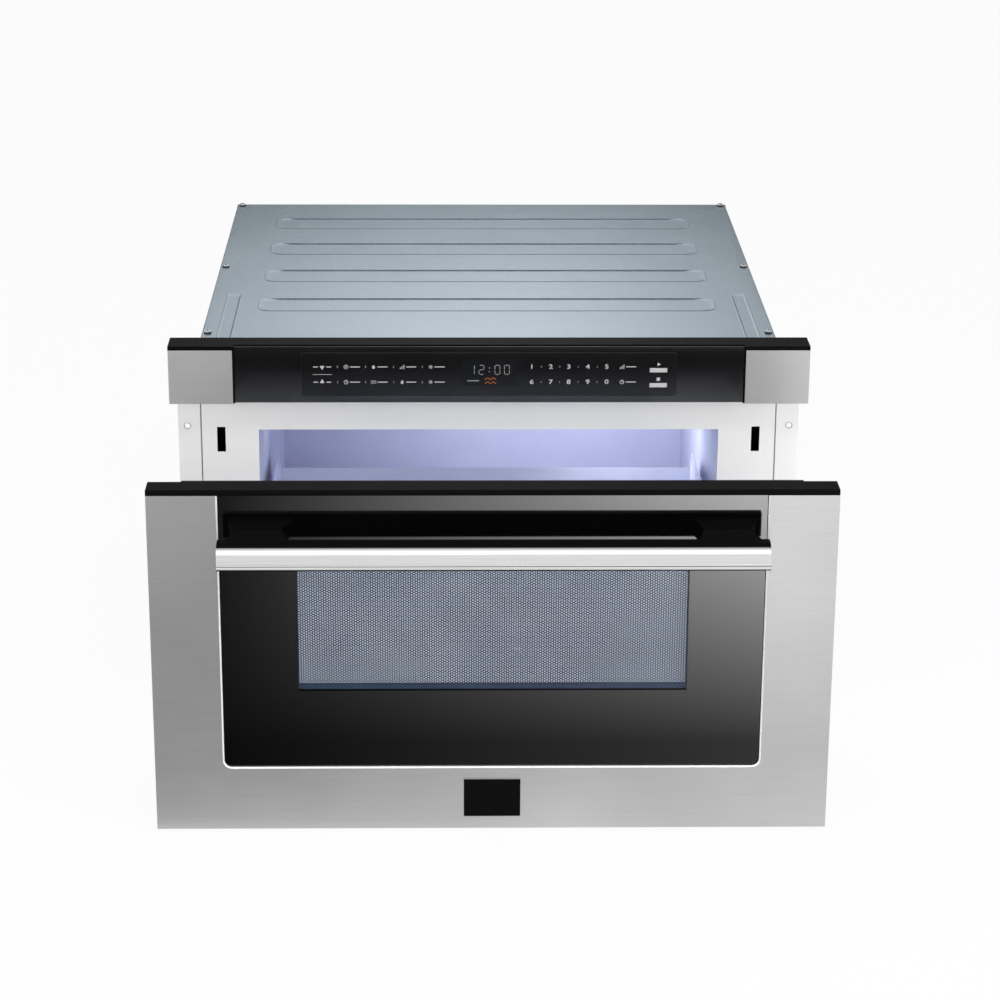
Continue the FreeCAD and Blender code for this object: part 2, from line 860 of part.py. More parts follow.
lamp_middle = f"({case_front} + cavity_depth * 0.6)"
lamp_level = "(lamp_floor + lamp_height / 2)"


def lamp():
    """Fix a small lamp in a box on the right wall of the cavity."""
    wall = f"({half_cavity} + cavity_sheet)"
    outer = f"({wall} + lamp_depth)"
    y = around(lamp_middle, "lamp_length")
    z = ("lamp_floor", "lamp_floor + lamp_height")
    shell = block((wall, outer), y, z)
    hollow = block(
        (wall, f"{outer} - lamp_wall"),
        around(lamp_middle, "lamp_length - 2 * lamp_wall"),
        ("lamp_floor + lamp_wall", "lamp_floor + lamp_height - lamp_wall"),
    )
    finish("lamp_housing", cut(shell, hollow))
    socket_start = f"({outer} - lamp_wall - socket_length)"
    socket = rod("x", (socket_start, lamp_middle, lamp_level), "socket_radius", "socket_length")
    bulb = rod(
        "x", (f"{socket_start} - bulb_length", lamp_middle, lamp_level), "bulb_radius", "bulb_length",
    )
    finish("cavity_lamp", join(socket, bulb))


# ---- Cooling and electrical parts ---------------------------------------------------------------

def fan():
    """Blow air from the grille through a duct over the magnetron."""
    centre = (fan_middle, f"{fan_front} - 1", "fan_centre_height")
    wide = around(fan_middle, "fan_size")
    tall = around("fan_centre_height", "fan_size")
    square = block(wide, (fan_front, back_inside), tall)
    bore = rod("y", centre, "fan_bore_radius", "fan_depth + 2")
    arm_y = (fan_front, f"{fan_front} + fan_arm_depth")
    arms = [
        block(around(fan_middle, "fan_arm_width"), arm_y, tall),
        block(wide, arm_y, around("fan_centre_height", "fan_arm_width")),
    ]
    shaft_hole = rod("y", centre, "shaft_radius + shaft_hole_gap", "fan_arm_depth + 2")
    finish("fan_housing", cut(join(cut(square, bore), *arms), shaft_hole))

    motor_front = f"({fan_front} - fan_motor_depth)"
    motor = rod("y", (fan_middle, motor_front, "fan_centre_height"), "fan_motor_radius", "fan_motor_depth")
    motor_bore = rod(
        "y", (fan_middle, f"{motor_front} + fan_motor_depth / 2", "fan_centre_height"),
        "shaft_radius + running_fit", "fan_motor_depth / 2 + 1",
    )
    finish("fan_motor", cut(motor, motor_bore))

    hub_front = f"({fan_front} + fan_arm_depth + fan_hub_gap)"
    blade = new_body()
    pad(blade, "XY_Plane", "0", "fan_blade_depth", (("0", "0"), "fan_hub_radius"))
    shaft_start = "-(fan_arm_depth + fan_hub_gap + fan_motor_depth * 0.45)"
    pad(blade, "XY_Plane", shaft_start, "fan_blade_depth", (("0", "0"), "shaft_radius"))
    tip = "(fan_bore_radius - fan_tip_gap)"
    vane = pad(
        blade, "XY_Plane", "fan_blade_depth * 0.35", "fan_blade_depth * 0.35 + blade_sheet",
        [
            ("fan_hub_radius * 0.8", "-fan_hub_radius * 0.4"), (f"{tip} * 0.93", f"-{tip} * 0.3"),
            (f"{tip} * 0.97", f"{tip} * 0.1"), ("fan_hub_radius * 0.8", "fan_hub_radius * 0.4"),
        ],
    )
    pattern_round(blade, vane, FAN_BLADES)
    blade.Placement = FreeCAD.Placement(FreeCAD.Vector(), AXIS_TURNS["y"])
    bind(blade, "Placement.Base.x", fan_middle)
    bind(blade, "Placement.Base.y", hub_front)
    bind(blade, "Placement.Base.z", "fan_centre_height")
    finish("fan_blade", blade)

    left = f"({fan_middle} - fan_size / 2)"
    right = "(-magnetron_width / 2 - duct_mouth_gap)"
    y = (f"{cavity_tail} + duct_gap", fan_front)
    z = around("fan_centre_height", "duct_height")
    shell = block((left, right), y, z)
    hollow = block(
        (f"{left} + duct_wall", f"{right} + 1"),
        (f"{y[0]} + duct_wall", f"{y[1]} + 1"),
        around("fan_centre_height", "duct_height - 2 * duct_wall"),
    )
    finish("air_duct", cut(shell, hollow))


def electrical_parts():
    """Stand the transformer, the capacitor and the filter board on the base."""
    back = f"({back_inside} - part_back_inset)"
    middle = "transformer_inset"
    y = (f"{back} - transformer_depth", back)
    core = block(around(middle, "transformer_width"), y, ("base_sheet", "base_sheet + transformer_height"))
    coil = block(
        around(middle, "coil_width"), (f"{y[0]} - coil_reach", f"{y[1]} + coil_reach"),
        around("(base_sheet + transformer_height / 2)", "coil_height"),
    )
    finish("hv_transformer", join(core, coil))

    right = f"({middle} - transformer_width / 2 - capacitor_gap)"
    can = padded(
        "XY_Plane", "base_sheet", "base_sheet + capacitor_height",
        rectangle((f"{right} - capacitor_width", right), (f"{back} - capacitor_depth", back)),
    )
    fillet(can, "capacitor_depth * 0.45", lambda edge: runs_along(edge, UPRIGHT))
    finish("hv_capacitor", can)

    left = f"(-{half_case} + filter_inset)"
    front = f"({back} - filter_depth)"
    board_floor = "(base_sheet + post_height)"
    x = (left, f"{left} + filter_width")
    solids = [block(x, (front, back), (board_floor, f"{board_floor} + board_sheet"))]
    post_inset = "post_radius * 2"
    for along in (f"{left} + {post_inset}", f"{left} + filter_width - {post_inset}"):
        for across in (f"{front} + {post_inset}", f"{back} - {post_inset}"):
            solids.append(rod("z", (along, across, "base_sheet"), "post_radius", "post_height"))
    top = f"({board_floor} + board_sheet)"
    middle_y = f"({front} + filter_depth / 2)"
    choke_x = f"({left} + filter_width * 0.27)"
    solids.append(rod("z", (choke_x, middle_y, top), "filter_width / 8", "filter_part_height"))
    for share in (0.57, 0.82):
        x = around(f"({left} + filter_width * {share})", "filter_width * 0.16")
        solids.append(block(x, around(middle_y, "filter_depth * 0.4"), (top, f"{top} + filter_part_height")))
    finish("filter_board", join(*solids))


def supply_gland():
    """Line the hole for the supply lead in the back panel with a flanged bush."""
    place = (f"-{half_case} + gland_inset", "gland_height")
    body = padded("XZ_Plane", f"{back_inside} - gland_reach", case_back, (place, "gland_radius"))
    pad(
        body, "XZ_Plane", f"{back_inside} - gland_rim_depth", back_inside,
        (place, "gland_radius + gland_rim"),
    )
    pocket(
        body, "XZ_Plane", f"{back_inside} - gland_reach - 1", f"{case_back} + 1",
        (place, "gland_bore_radius"),
    )
    finish("supply_gland", body)


# ---- Control panel ------------------------------------------------------------------------------

def control_housing():
    """Carry the panel on a plastic housing whose cap covers the front edge of the case."""
    cap = block(centred("overall_width"), (panel_front, f"{panel_front} + cap_depth"), (panel_top, cap_top))
    wall = block(
        centred("overall_width - 2 * skin_sheet"), (housing_front, case_front), (panel_bottom, panel_top),
    )
    solids = [cap, wall]
    for side in SIDES:
        solids.append(block(
            on_side(side, panel_glass_side, end_cap_inner),
            (f"{panel_front} + skin_sheet", housing_front),
            (panel_bottom, panel_top),
        ))
        solids.append(block(
            on_side(side, end_cap_inner, f"{half_overall} - skin_sheet"),
            (f"{panel_front} + skin_sheet", housing_front),
            (f"{panel_bottom} + skin_sheet", panel_top),
        ))
        for z in (f"{touch_middle} - board_height * 0.36", f"{touch_middle} + board_height * 0.36"):
            post_start = (signed(side, "board_width * 0.46"), board_back, z)
            solids.append(rod("y", post_start, "board_post_radius", f"{housing_front} - {board_back}"))
    glass_seat = block(
        centred(f"2 * {panel_glass_side}"), (f"{panel_front} - 1", panel_glass_back),
        (f"{panel_top} - 1", f"{cap_top} + 1"),
    )
    finish("control_housing", cut(join(*solids), glass_seat))


def end_cap(side):
    """Fold a stainless cap over one end of the panel."""
    outside = block(
        on_side(side, end_cap_inner, half_overall), (panel_front, housing_front), (panel_bottom, panel_top),
    )
    inside = block(
        on_side(side, end_cap_inner, f"{half_overall} - skin_sheet"),
        (f"{panel_front} + skin_sheet", housing_front),
        (f"{panel_bottom} + skin_sheet", panel_top),
    )
    finish(f"end_cap_{side}", cut(outside, inside))


def control_glass():
    """Set the panel's dark glass between the end caps."""
    body = padded(
        "XZ_Plane", panel_glass_front, panel_glass_back,
        rectangle(
            centred(f"2 * {panel_glass_side}"),
            (f"{panel_bottom} + panel_glass_gap", f"{cap_top} - panel_glass_drop"),
        ),
    )
    finish("control_glass", body)


def touch_panel():
    """Lay the touch sensor on the back of the glass."""
    body = padded(
        "XZ_Plane", panel_glass_back, touch_back,
        rectangle(centred("touch_width"), (touch_floor, f"{touch_floor} + touch_height")),
    )
    finish("touch_panel", body)


def display_and_board():
    """Put the display between the touch sensor and the control board."""
    display = block(
        centred("display_width"), (touch_back, board_front), around(touch_middle, "display_height"),
    )
    finish("display_module", display)
    board = block(centred("board_width"), (board_front, board_back), around(touch_middle, "board_height"))
    chips = []
    for share in (-0.3, -0.12, 0.14, 0.33):
        chips.append(block(
            around(f"board_width * {share}", "chip_width"),
            (board_back, f"{board_back} + chip_height"),
            around(touch_middle, "chip_width"),
        ))
    finish("control_board", join(board, *chips))


# ---- Drawer front -------------------------------------------------------------------------------

def door_frame():
    """Fold the stainless front around the glass, with returns at the sides and underneath."""
    inner_x = f"({half_overall} - skin_sheet)"
    inner_z = "(door_bottom + skin_sheet)"
    skin = padded(
        "XZ_Plane", door_front, f"{door_front} + skin_sheet",
        [
            (f"-{half_overall}", "door_bottom"), (half_overall, "door_bottom"),
            (half_overall, door_top), (opening_side, door_top),
            (opening_side, opening_floor), (f"-{opening_side}", opening_floor),
            (f"-{opening_side}", door_top), (f"-{half_overall}", door_top),
        ],
    )
    lip_z = f"({opening_floor} - skin_sheet)"
    lip_x = f"({opening_side} + skin_sheet)"
    pad(
        skin, "XZ_Plane", f"{door_front} + skin_sheet", f"{door_front} + glass_recess + door_glass_sheet",
        [
            (lip_x, door_top), (opening_side, door_top),
            (opening_side, opening_floor), (f"-{opening_side}", opening_floor),
            (f"-{opening_side}", door_top), (f"-{lip_x}", door_top),
            (f"-{lip_x}", lip_z), (lip_x, lip_z),
        ],
    )
    pad(
        skin, "XZ_Plane", f"{door_front} + skin_sheet", plate_front,
        [
            (f"-{half_overall}", door_top), (f"-{half_overall}", "door_bottom"),
            (half_overall, "door_bottom"), (half_overall, door_top),
            (inner_x, door_top), (inner_x, inner_z),
            (f"-{inner_x}", inner_z), (f"-{inner_x}", door_top),
        ],
    )
    fillet(skin, "opening_corner", is_opening_corner)
    finish("door_frame", skin)


def is_opening_corner(edge):
    """Pick the edges at the two lower corners of the glass."""
    box = edge.BoundBox
    side = SIZES["overall_width"] / 2 - SIZES["door_side_width"]
    floor = SIZES["door_bottom"] + SIZES["door_border_height"]
    near_side = abs(abs(box.XMin) - side) < 1
    return runs_along(edge, LENGTHWISE) and near_side and abs(box.ZMin - floor) < 1


def drawer_top_cap():
    """Close the top of the drawer front with a plastic cap."""
    body = padded(
        "XY_Plane", door_top, top_cap_top,
        rectangle(centred("overall_width"), (door_front, plate_front)),
    )
    fillet(body, "top_cap_height * 0.3", lambda edge: runs_along(edge, CROSSWISE)
           and edge.BoundBox.YMax < edge_middle(body, "Y") and edge.BoundBox.ZMin > edge_middle(body, "Z"))
    finish("drawer_top_cap", body)


def edge_middle(body, axis):
    """Find the middle of a body's box along one axis."""
    box = body.Shape.BoundBox
    return (getattr(box, f"{axis}Min") + getattr(box, f"{axis}Max")) / 2


def screw_places():
    """List the four handle screws from left to right."""
    places = []
    for side in SIDES:
        middle = signed(side, f"{half_handle} - bracket_inset - bracket_width / 2")
        for shift in ("-screw_spacing / 2", "screw_spacing / 2"):
            places.append(f"({middle} + {shift})")
    return places


def door_glass():
    """Set the dark glass in the front, with four holes for the handle's screws."""
    holes = [((x, handle_middle), "screw_radius + screw_gap") for x in screw_places()]
    side = f"({opening_side} - glass_clearance)"
    body = padded(
        "XZ_Plane", glass_front, glass_back,
        rectangle((f"-{side}", side), (f"{opening_floor} + glass_clearance", door_top)),
        *holes,
    )
    fillet(body, "opening_corner", is_opening_corner)
    finish("door_glass", body)


def door_screen():
    """Lay the metal screen behind the window of the glass."""
    body = padded(
        "XZ_Plane", glass_back, screen_back,
        rectangle(
            centred("window_width + 2 * screen_margin"),
            (f"{window_floor} - screen_margin", f"{window_top} + screen_margin / 2"),
        ),
    )
    finish("door_screen", body)


latch_hole_x = "latch_slot_width + 2 * ear_sheet + 2 * ear_gap"
latch_hole_z = (f"({latch_slot_middle} - hook_height)", f"({latch_slot_middle} + hook_height)")


def door_core():
    """Stiffen the front with a steel pan that has a tunnel behind the window."""
    side = f"({half_overall} - skin_sheet)"
    floor = "(door_bottom + skin_sheet)"
    outside = block((f"-{side}", side), (screen_back, plate_front), (floor, door_top))
    hollow_top = f"({door_top} - core_sheet)"
    hollow = block(
        (f"-{side} + core_sheet", f"{side} - core_sheet"), (f"{screen_back} - 1", core_web),
        (f"{floor} + core_sheet", hollow_top),
    )
    tunnel = block(
        centred("window_width + 2 * core_sheet"), (screen_back, plate_front),
        (f"{window_floor} - core_sheet", f"{window_top} + core_sheet"),
    )
    posts = []
    for x in screw_places():
        post_start = (x, glass_back, handle_middle)
        posts.append(rod("y", post_start, "screw_radius + screw_post_wall", f"{core_web} - {glass_back}"))
    window = block(
        centred("window_width"), (f"{screen_back} - 1", f"{plate_front} + 1"), (window_floor, window_top),
    )
    latch_holes = []
    for place in SIDES:
        x = around(signed(place, latch_centre), latch_hole_x)
        latch_holes.append(block(x, (f"{core_web} - 1", f"{plate_front} + 1"), latch_hole_z))
    screw_holes = []
    for x in screw_places():
        screw_holes.append(rod(
            "y", (x, f"{glass_back} - 1", handle_middle), "screw_radius + running_fit",
            f"{plate_front} - {glass_back} + 2",
        ))
    pan = cut(outside, hollow)
    finish("door_core", cut(join(pan, tunnel, *posts), window, *latch_holes, *screw_holes))


def door_inner_plate():
    """Back the front with a steel plate that the tray, the rails and the rack fix to."""
    loops = [
        rectangle(
            centred("overall_width - 2 * inner_plate_side_gap"),
            ("door_bottom + inner_plate_rise", top_cap_top),
        ),
        rectangle(centred("window_width"), (window_floor, window_top)),
    ]
    for side in SIDES:
        loops.append(latch_slot(side))
    for x in screw_places():
        loops.append(((x, handle_middle), "screw_head_radius + screw_gap"))
    finish("door_inner_plate", padded("XZ_Plane", plate_front, door_back, *loops))


def door_inner_glass():
    """Close the window from inside with a clear pane."""
    body = padded(
        "XZ_Plane", plate_front, door_back, rectangle(centred("window_width"), (window_floor, window_top)),
    )
    finish("door_inner_glass", body)


def choke_cover():
    """Cover the seal around the window where the front meets the cavity."""
    z = ("cavity_floor + choke_clearance", f"{cavity_top} - choke_clearance")
    body = padded(
        "XZ_Plane", door_back, choke_back,
        rectangle(centred(f"2 * ({half_cavity} - choke_clearance)"), z),
        rectangle(centred("window_width"), (window_floor, window_top)),
    )
    finish("choke_cover", body)


def latch(side):
    """Hang a sprung hook from a pin between two ears, and return the ears for their own node."""
    centre = signed(side, latch_centre)
    ears = []
    hook_front = f"({pivot_place} - pivot_radius - pivot_wall)"
    ear_y = (hook_front, plate_front)
    ear_z = around(latch_slot_middle, "hook_height + 2 * pivot_wall")
    half_gap = "(hook_sheet / 2 + ear_gap)"
    for near, far in ((f"-{half_gap} - ear_sheet", f"-{half_gap}"), (half_gap, f"{half_gap} + ear_sheet")):
        ears.append(block((f"{centre} + {near}", f"{centre} + {far}"), ear_y, ear_z))
    pin = rod(
        "x", (f"{centre} - {half_gap} - ear_sheet", pivot_place, latch_slot_middle),
        "pivot_radius", f"2 * ({half_gap} + ear_sheet)",
    )
    holder = join(*ears, pin)

    low = f"({latch_slot_middle} - hook_height / 2)"
    high = f"({latch_slot_middle} + hook_height / 2)"
    end = f"({door_back} + hook_reach)"
    hook = padded(
        "YZ_Plane", f"{centre} - hook_sheet / 2", f"{centre} + hook_sheet / 2",
        [
            (hook_front, low), (f"{end} - hook_height", low),
            (f"{end} - hook_height", f"{low} - hook_tip"), (f"{end} - hook_height / 2", f"{low} - hook_tip"),
            (end, high), (hook_front, high),
        ],
        ((pivot_place, latch_slot_middle), "pivot_radius + running_fit"),
    )
    finish(f"latch_hook_{side}", hook)
    return holder


def handle():
    """Stand the bar off the glass on two tapered brackets held by four screws."""
    bevel = "handle_bevel"
    bar = padded(
        "YZ_Plane", f"-{half_handle}", half_handle,
        [
            (handle_back, handle_floor), (f"{handle_front} + {bevel}", handle_floor),
            (handle_front, f"{handle_floor} + {bevel}"), (handle_front, f"{handle_top} - {bevel} / 2"),
            (f"{handle_front} + {bevel} / 2", handle_top), (handle_back, handle_top),
        ],
    )
    finish("handle_bar", bar)
    for side in SIDES:
        middle = signed(side, f"{half_handle} - bracket_inset - bracket_width / 2")
        wide = around(middle, "bracket_width")
        narrow = around(middle, "bracket_width - 2 * bracket_taper")
        z = around(handle_middle, "bracket_height")
        bracket = padded(
            "XY_Plane", z[0], z[1],
            [
                (wide[0], handle_back), (narrow[0], glass_front),
                (narrow[1], glass_front), (wide[1], handle_back),
            ],
        )
        for shift in ("-screw_spacing / 2", "screw_spacing / 2"):
            pocket(
                bracket, "XZ_Plane", f"{glass_front} - screw_bite - 1", f"{glass_front} + 1",
                ((f"{middle} + {shift}", handle_middle), "screw_radius + running_fit"),
            )
        finish(f"handle_bracket_{side}", bracket)
    screws = []
    for x in screw_places():
        shank = rod(
            "y", (x, f"{glass_front} - screw_bite", handle_middle), "screw_radius",
            f"{plate_front} - {glass_front} + screw_bite",
        )
        head = rod("y", (x, plate_front, handle_middle), "screw_head_radius", "screw_head_height")
        screws.append(join(shank, head))
    finish("handle_screws", together(*screws))


def badge_plate():
    """Fix a bare plate in the middle of the lower border."""
    middle = "(door_bottom + door_border_height / 2)"
    body = padded(
        "XZ_Plane", f"{door_front} - badge_sheet", door_front,
        rectangle(centred("badge_width"), around(middle, "badge_height")),
    )
    finish("badge_plate", body)


# ---- Tray ---------------------------------------------------------------------------------------

def tray():
    """Form the tray. Its sides fall towards the rear and end at a lower back wall."""
    rear_top = f"({tray_underside} + tray_rear_height)"
    corner_top = f"({tray_underside} + tray_corner_height)"
    front_top = f"({tray_underside} + tray_height)"
    body = padded(
        "YZ_Plane", f"-{tray_side}", tray_side,
        [
            (choke_back, tray_underside), (tray_back, tray_underside),
            (tray_back, rear_top), (f"{tray_back} - tray_corner_run", corner_top),
            (choke_back, front_top),
        ],
    )
    pocket(
        body, "XY_Plane", tray_floor, f"{front_top} + 1",
        rectangle(
            (f"-{tray_side} + tray_sheet", f"{tray_side} - tray_sheet"),
            (f"{choke_back} - 1", f"{tray_back} - tray_sheet"),
        ),
    )
    finish("drawer_tray", body)
    edge = "(tray_sheet + ceramic_margin)"
    pane = padded(
        "XY_Plane", tray_floor, f"{tray_floor} + ceramic_sheet",
        rectangle(
            (f"-{tray_side} + {edge}", f"{tray_side} - {edge}"),
            (f"{choke_back} + ceramic_margin", f"{tray_back} - {edge}"),
        ),
    )
    fillet(pane, "ceramic_margin", lambda item: runs_along(item, UPRIGHT))
    finish("ceramic_floor", pane)


# ---- Rails --------------------------------------------------------------------------------------

def channel(side, web, lips, low, high, start):
    """Make a rail of C section from its web, its lips' reach, its height and its front end."""
    (web_near, web_far), (lip_near, lip_far) = web, lips
    y = (start, f"{start} + rail_length")
    return join(
        block(on_side(side, web_near, web_far), y, (low, high)),
        block(on_side(side, lip_near, lip_far), y, (low, f"{low} + rail_sheet")),
        block(on_side(side, lip_near, lip_far), y, (f"{high} - rail_sheet", high)),
    )


def rails(side):
    """Nest three channels: one on the case, one that runs half way and one on the drawer."""
    low = "rail_floor"
    high = "(rail_floor + rail_height)"
    step = "(rail_sheet + rail_play)"
    outer_web = (f"{rail_back_side} - rail_sheet", rail_back_side)
    outer_lips = (rail_front_side, rail_back_side)
    outer = channel(side, outer_web, outer_lips, low, high, rail_start)
    support_outer = f"({rail_back_side} + support_sheet)"
    y = (f"{rail_start} + rail_setback", f"{rail_start} + rail_length - rail_setback")
    support = join(
        block(on_side(side, rail_back_side, support_outer), y, ("base_sheet", high)),
        block(on_side(side, support_outer, f"{support_outer} + support_foot"), y,
              ("base_sheet", "base_sheet + support_sheet")),
    )
    finish(f"outer_rail_{side}", join(outer, support))

    middle_back = f"({rail_back_side} - {step})"
    middle_front = f"({rail_front_side} + rail_play * 2)"
    middle = channel(
        side, (f"{middle_back} - rail_sheet", middle_back), (middle_front, middle_back),
        f"({low} + {step})", f"({high} - {step})", f"({rail_start} - drawer_open / 2)",
    )
    finish(f"middle_rail_{side}", middle)

    inner_back = f"({middle_back} - {step})"
    inner = channel(
        side, (rail_front_side, f"{rail_front_side} + rail_sheet"), (rail_front_side, inner_back),
        f"({low} + 2 * {step})", f"({high} - 2 * {step})", f"({rail_start} - drawer_open)",
    )
    arm_z = (f"{low} + 2 * {step}", f"{high} - 2 * {step}")
    arm = join(
        block(on_side(side, arm_side, rail_front_side), (door_back, f"{door_back} + arm_length"), arm_z),
        block(on_side(side, arm_inner, arm_side), (door_back, f"{door_back} + arm_sheet"), arm_z),
    )
    finish(f"inner_rail_{side}", join(inner, arm))


# ---- Rack and pinion ----------------------------------------------------------------------------

def drive():
    """Push the drawer with a toothed rack from a pinion on an upright gearmotor shaft."""
    half_root = f"({tooth_pitch} / 2 - gear_backlash) / 2 + gear_module * 0.45"
    half_tip = f"({tooth_pitch} / 2 - gear_backlash) / 2 - gear_module * 0.36"
    rack_end = f"({pinion_centre} + {teeth_behind + 0.2} * {tooth_pitch})"
    bar = block(("-rack_web / 2", "rack_web / 2"), (door_back, rack_end), ("rack_floor", rack_top))
    plate = block(
        centred("rack_flange"), (door_back, f"{door_back} + arm_sheet"), ("rack_floor", rack_top),
    )
    tooth_foot = "rack_web / 2 - tooth_overlap"
    teeth = new_body()
    tooth = pad(
        teeth, "XY_Plane", "rack_floor", rack_top,
        [
            (tooth_foot, f"-({half_root})"), (f"{rack_pitch_side} + gear_module", f"-({half_tip})"),
            (f"{rack_pitch_side} + gear_module", half_tip), (tooth_foot, half_root),
        ],
    )
    pattern_back(teeth, tooth, tooth_pitch, teeth_ahead + teeth_behind)
    bind(teeth, "Placement.Base.y", f"{pinion_centre} - {teeth_ahead + 0.5} * {tooth_pitch}")
    finish("drive_rack", join(bar, plate, teeth))

    pinion = new_body()
    root = f"({pinion_radius} - gear_module * 1.25)"
    pad(pinion, "XY_Plane", "rack_floor", rack_top, (("0", "0"), root))
    pad(
        pinion, "XY_Plane", f"{gearbox_top} - shaft_engagement", f"{rack_top} + arm_sheet",
        (("0", "0"), "pinion_shaft_radius"),
    )
    outer = f"({pinion_radius} + gear_module * 0.85)"
    gear_tooth = pad(
        pinion, "XY_Plane", "rack_floor", rack_top,
        [
            (f"{root} - tooth_overlap", f"-({half_root})"), (outer, f"-({half_tip})"),
            (outer, half_tip), (f"{root} - tooth_overlap", half_root),
        ],
    )
    pattern_round(pinion, gear_tooth, PINION_TEETH)
    pinion.Placement = FreeCAD.Placement(FreeCAD.Vector(), FreeCAD.Rotation(UPRIGHT, 180))
    bind(pinion, "Placement.Base.x", pinion_side)
    bind(pinion, "Placement.Base.y", pinion_centre)
    finish("drive_pinion", pinion)


def drive_motor():
    """Stand the gearmotor on the base beside a guide that keeps the rack straight."""
    x = around(pinion_side, "gearbox_width")
    y = around(pinion_centre, "gearbox_length")
    box = block(x, y, ("base_sheet", gearbox_top))
    motor_start = f"({pinion_centre} + gearbox_length / 2)"
    motor_level = "base_sheet + motor_radius + gearbox_gap"
    motor = rod("y", (pinion_side, motor_start, motor_level), "motor_radius", "motor_length")
    bore_depth = "(shaft_engagement + gearbox_gap)"
    bore = rod(
        "z", (pinion_side, pinion_centre, f"{gearbox_top} - {bore_depth}"),
        "pinion_shaft_radius + running_fit", f"{bore_depth} + 1",
    )
    wall_side = "(-rack_web / 2 - guide_play)"
    guide = join(
        block((f"{wall_side} - guide_wall", wall_side), y, ("base_sheet", rack_top)),
        block((f"{wall_side} - guide_wall", "rack_web / 2"), y, ("base_sheet", "rack_floor - guide_play")),
    )
    finish("drive_motor", cut(join(box, motor, guide), bore))


# ---- Interlocks ---------------------------------------------------------------------------------

def interlock(side):
    """Catch a latch hook in a housing behind the front plate and press two switches there."""
    centre = signed(side, latch_centre)
    x = around(centre, "latch_slot_width + 2 * interlock_wall")
    y = (face_back, f"{face_back} + interlock_depth")
    slot_top = f"{latch_slot_floor} + latch_slot_height"
    z = (f"{latch_slot_floor} - interlock_margin", f"{slot_top} + interlock_margin")
    shell = block(x, y, z)
    hollow = block(
        around(centre, "latch_slot_width"), (f"{face_back} - 1", f"{y[1]} - interlock_wall"),
        (f"{latch_slot_floor} - interlock_margin / 2", f"{slot_top} + interlock_margin / 2"),
    )
    housing = cut(shell, hollow)
    switches = []
    for low in (z[0], latch_slot_middle):
        switches.append(block(x, (y[1], f"{y[1]} + switch_width"), (low, f"{low} + latch_slot_height / 2")))
    finish(f"interlock_{side}", join(housing, *switches))


# ---- Build --------------------------------------------------------------------------------------

case_wrap()
base()
rear_panel()
front_plate()
case_screws()
cavity()
waveguide()
magnetron()
stirrer()
stirrer_cover()
lamp()
fan()
electrical_parts()
supply_gland()
control_housing()
control_glass()
touch_panel()
display_and_board()
door_frame()
drawer_top_cap()
door_glass()
door_screen()
door_core()
door_inner_plate()
door_inner_glass()
choke_cover()
handle()
badge_plate()
tray()
drive()
drive_motor()
holders = []
for side in SIDES:
    mounting_flange(side)
    end_cap(side)
    rails(side)
    interlock(side)
    holders.append(latch(side))
finish("latch_holders", together(*holders))

doc.recompute()

for item in doc.Objects:
    if "Invalid" in item.State or "Error" in item.State:
        raise ValueError(f"{item.Label} did not build: {item.State}")
for item in nodes:
    if item.Shape.isNull() or not item.Shape.isValid() or not item.Shape.Solids:
        raise ValueError(f"{item.Label} has no valid solid")

os.makedirs("parts", exist_ok=True)
for item in nodes:
    item.Shape.exportStep(f"parts/{item.Label}.step")
    print(f"{item.Label}: {len(item.Shape.Solids)} solid(s), {item.Shape.Volume / 1000:.1f} cm3")
print(f"{len(nodes)} sub-parts")
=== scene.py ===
import math

import bpy
from mathutils import Matrix, Vector


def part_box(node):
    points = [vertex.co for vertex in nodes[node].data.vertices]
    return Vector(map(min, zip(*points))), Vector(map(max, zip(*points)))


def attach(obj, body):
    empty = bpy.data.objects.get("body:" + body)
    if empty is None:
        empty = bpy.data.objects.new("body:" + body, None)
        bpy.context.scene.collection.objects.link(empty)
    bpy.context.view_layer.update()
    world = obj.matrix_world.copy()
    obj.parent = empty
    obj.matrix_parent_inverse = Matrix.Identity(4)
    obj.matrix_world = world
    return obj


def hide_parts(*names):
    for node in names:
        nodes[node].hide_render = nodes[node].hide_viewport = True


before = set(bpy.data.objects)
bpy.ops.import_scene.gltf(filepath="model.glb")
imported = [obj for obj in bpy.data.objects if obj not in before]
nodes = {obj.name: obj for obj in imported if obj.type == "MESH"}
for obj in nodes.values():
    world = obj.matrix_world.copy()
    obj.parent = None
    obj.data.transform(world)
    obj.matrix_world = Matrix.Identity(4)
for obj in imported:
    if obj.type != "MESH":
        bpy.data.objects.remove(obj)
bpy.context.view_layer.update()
bpy.ops.object.select_all(action="DESELECT")

# ---- Camera ----------------------------------------------------------------------------------
# The camera stands in front of the middle of the drawer, looks down at it and is turned a little
# to the right. Its place and lens come from a fit to the edges of the object.

CAMERA_PLACE = (-0.0424, -2.9174, 1.1608)
CAMERA_LENS = 104.04
SENSOR_WIDTH = 36
LOOK_DOWN = math.radians(19.51)
LOOK_RIGHT = math.radians(1.162)
CAMERA_ROLL = math.radians(0.31)

bpy.ops.object.camera_add()
camera = bpy.context.object
camera.name = "camera"
camera.data.lens = CAMERA_LENS
camera.data.sensor_width = SENSOR_WIDTH
camera.matrix_world = (
    Matrix.Translation(CAMERA_PLACE)
    @ Matrix.Rotation(-LOOK_RIGHT, 4, "Z")
    @ Matrix.Rotation(math.pi / 2 - LOOK_DOWN, 4, "X")
    @ Matrix.Rotation(CAMERA_ROLL, 4, "Z")
)
bpy.context.scene.camera = camera
bpy.context.scene.view_settings.view_transform = "Standard"


# ---- Finishes --------------------------------------------------------------------------------
# Every material is a tree of nodes that starts from places in the object's own frame, so that a
# pattern keeps its size on each piece and stays on it when the piece moves.

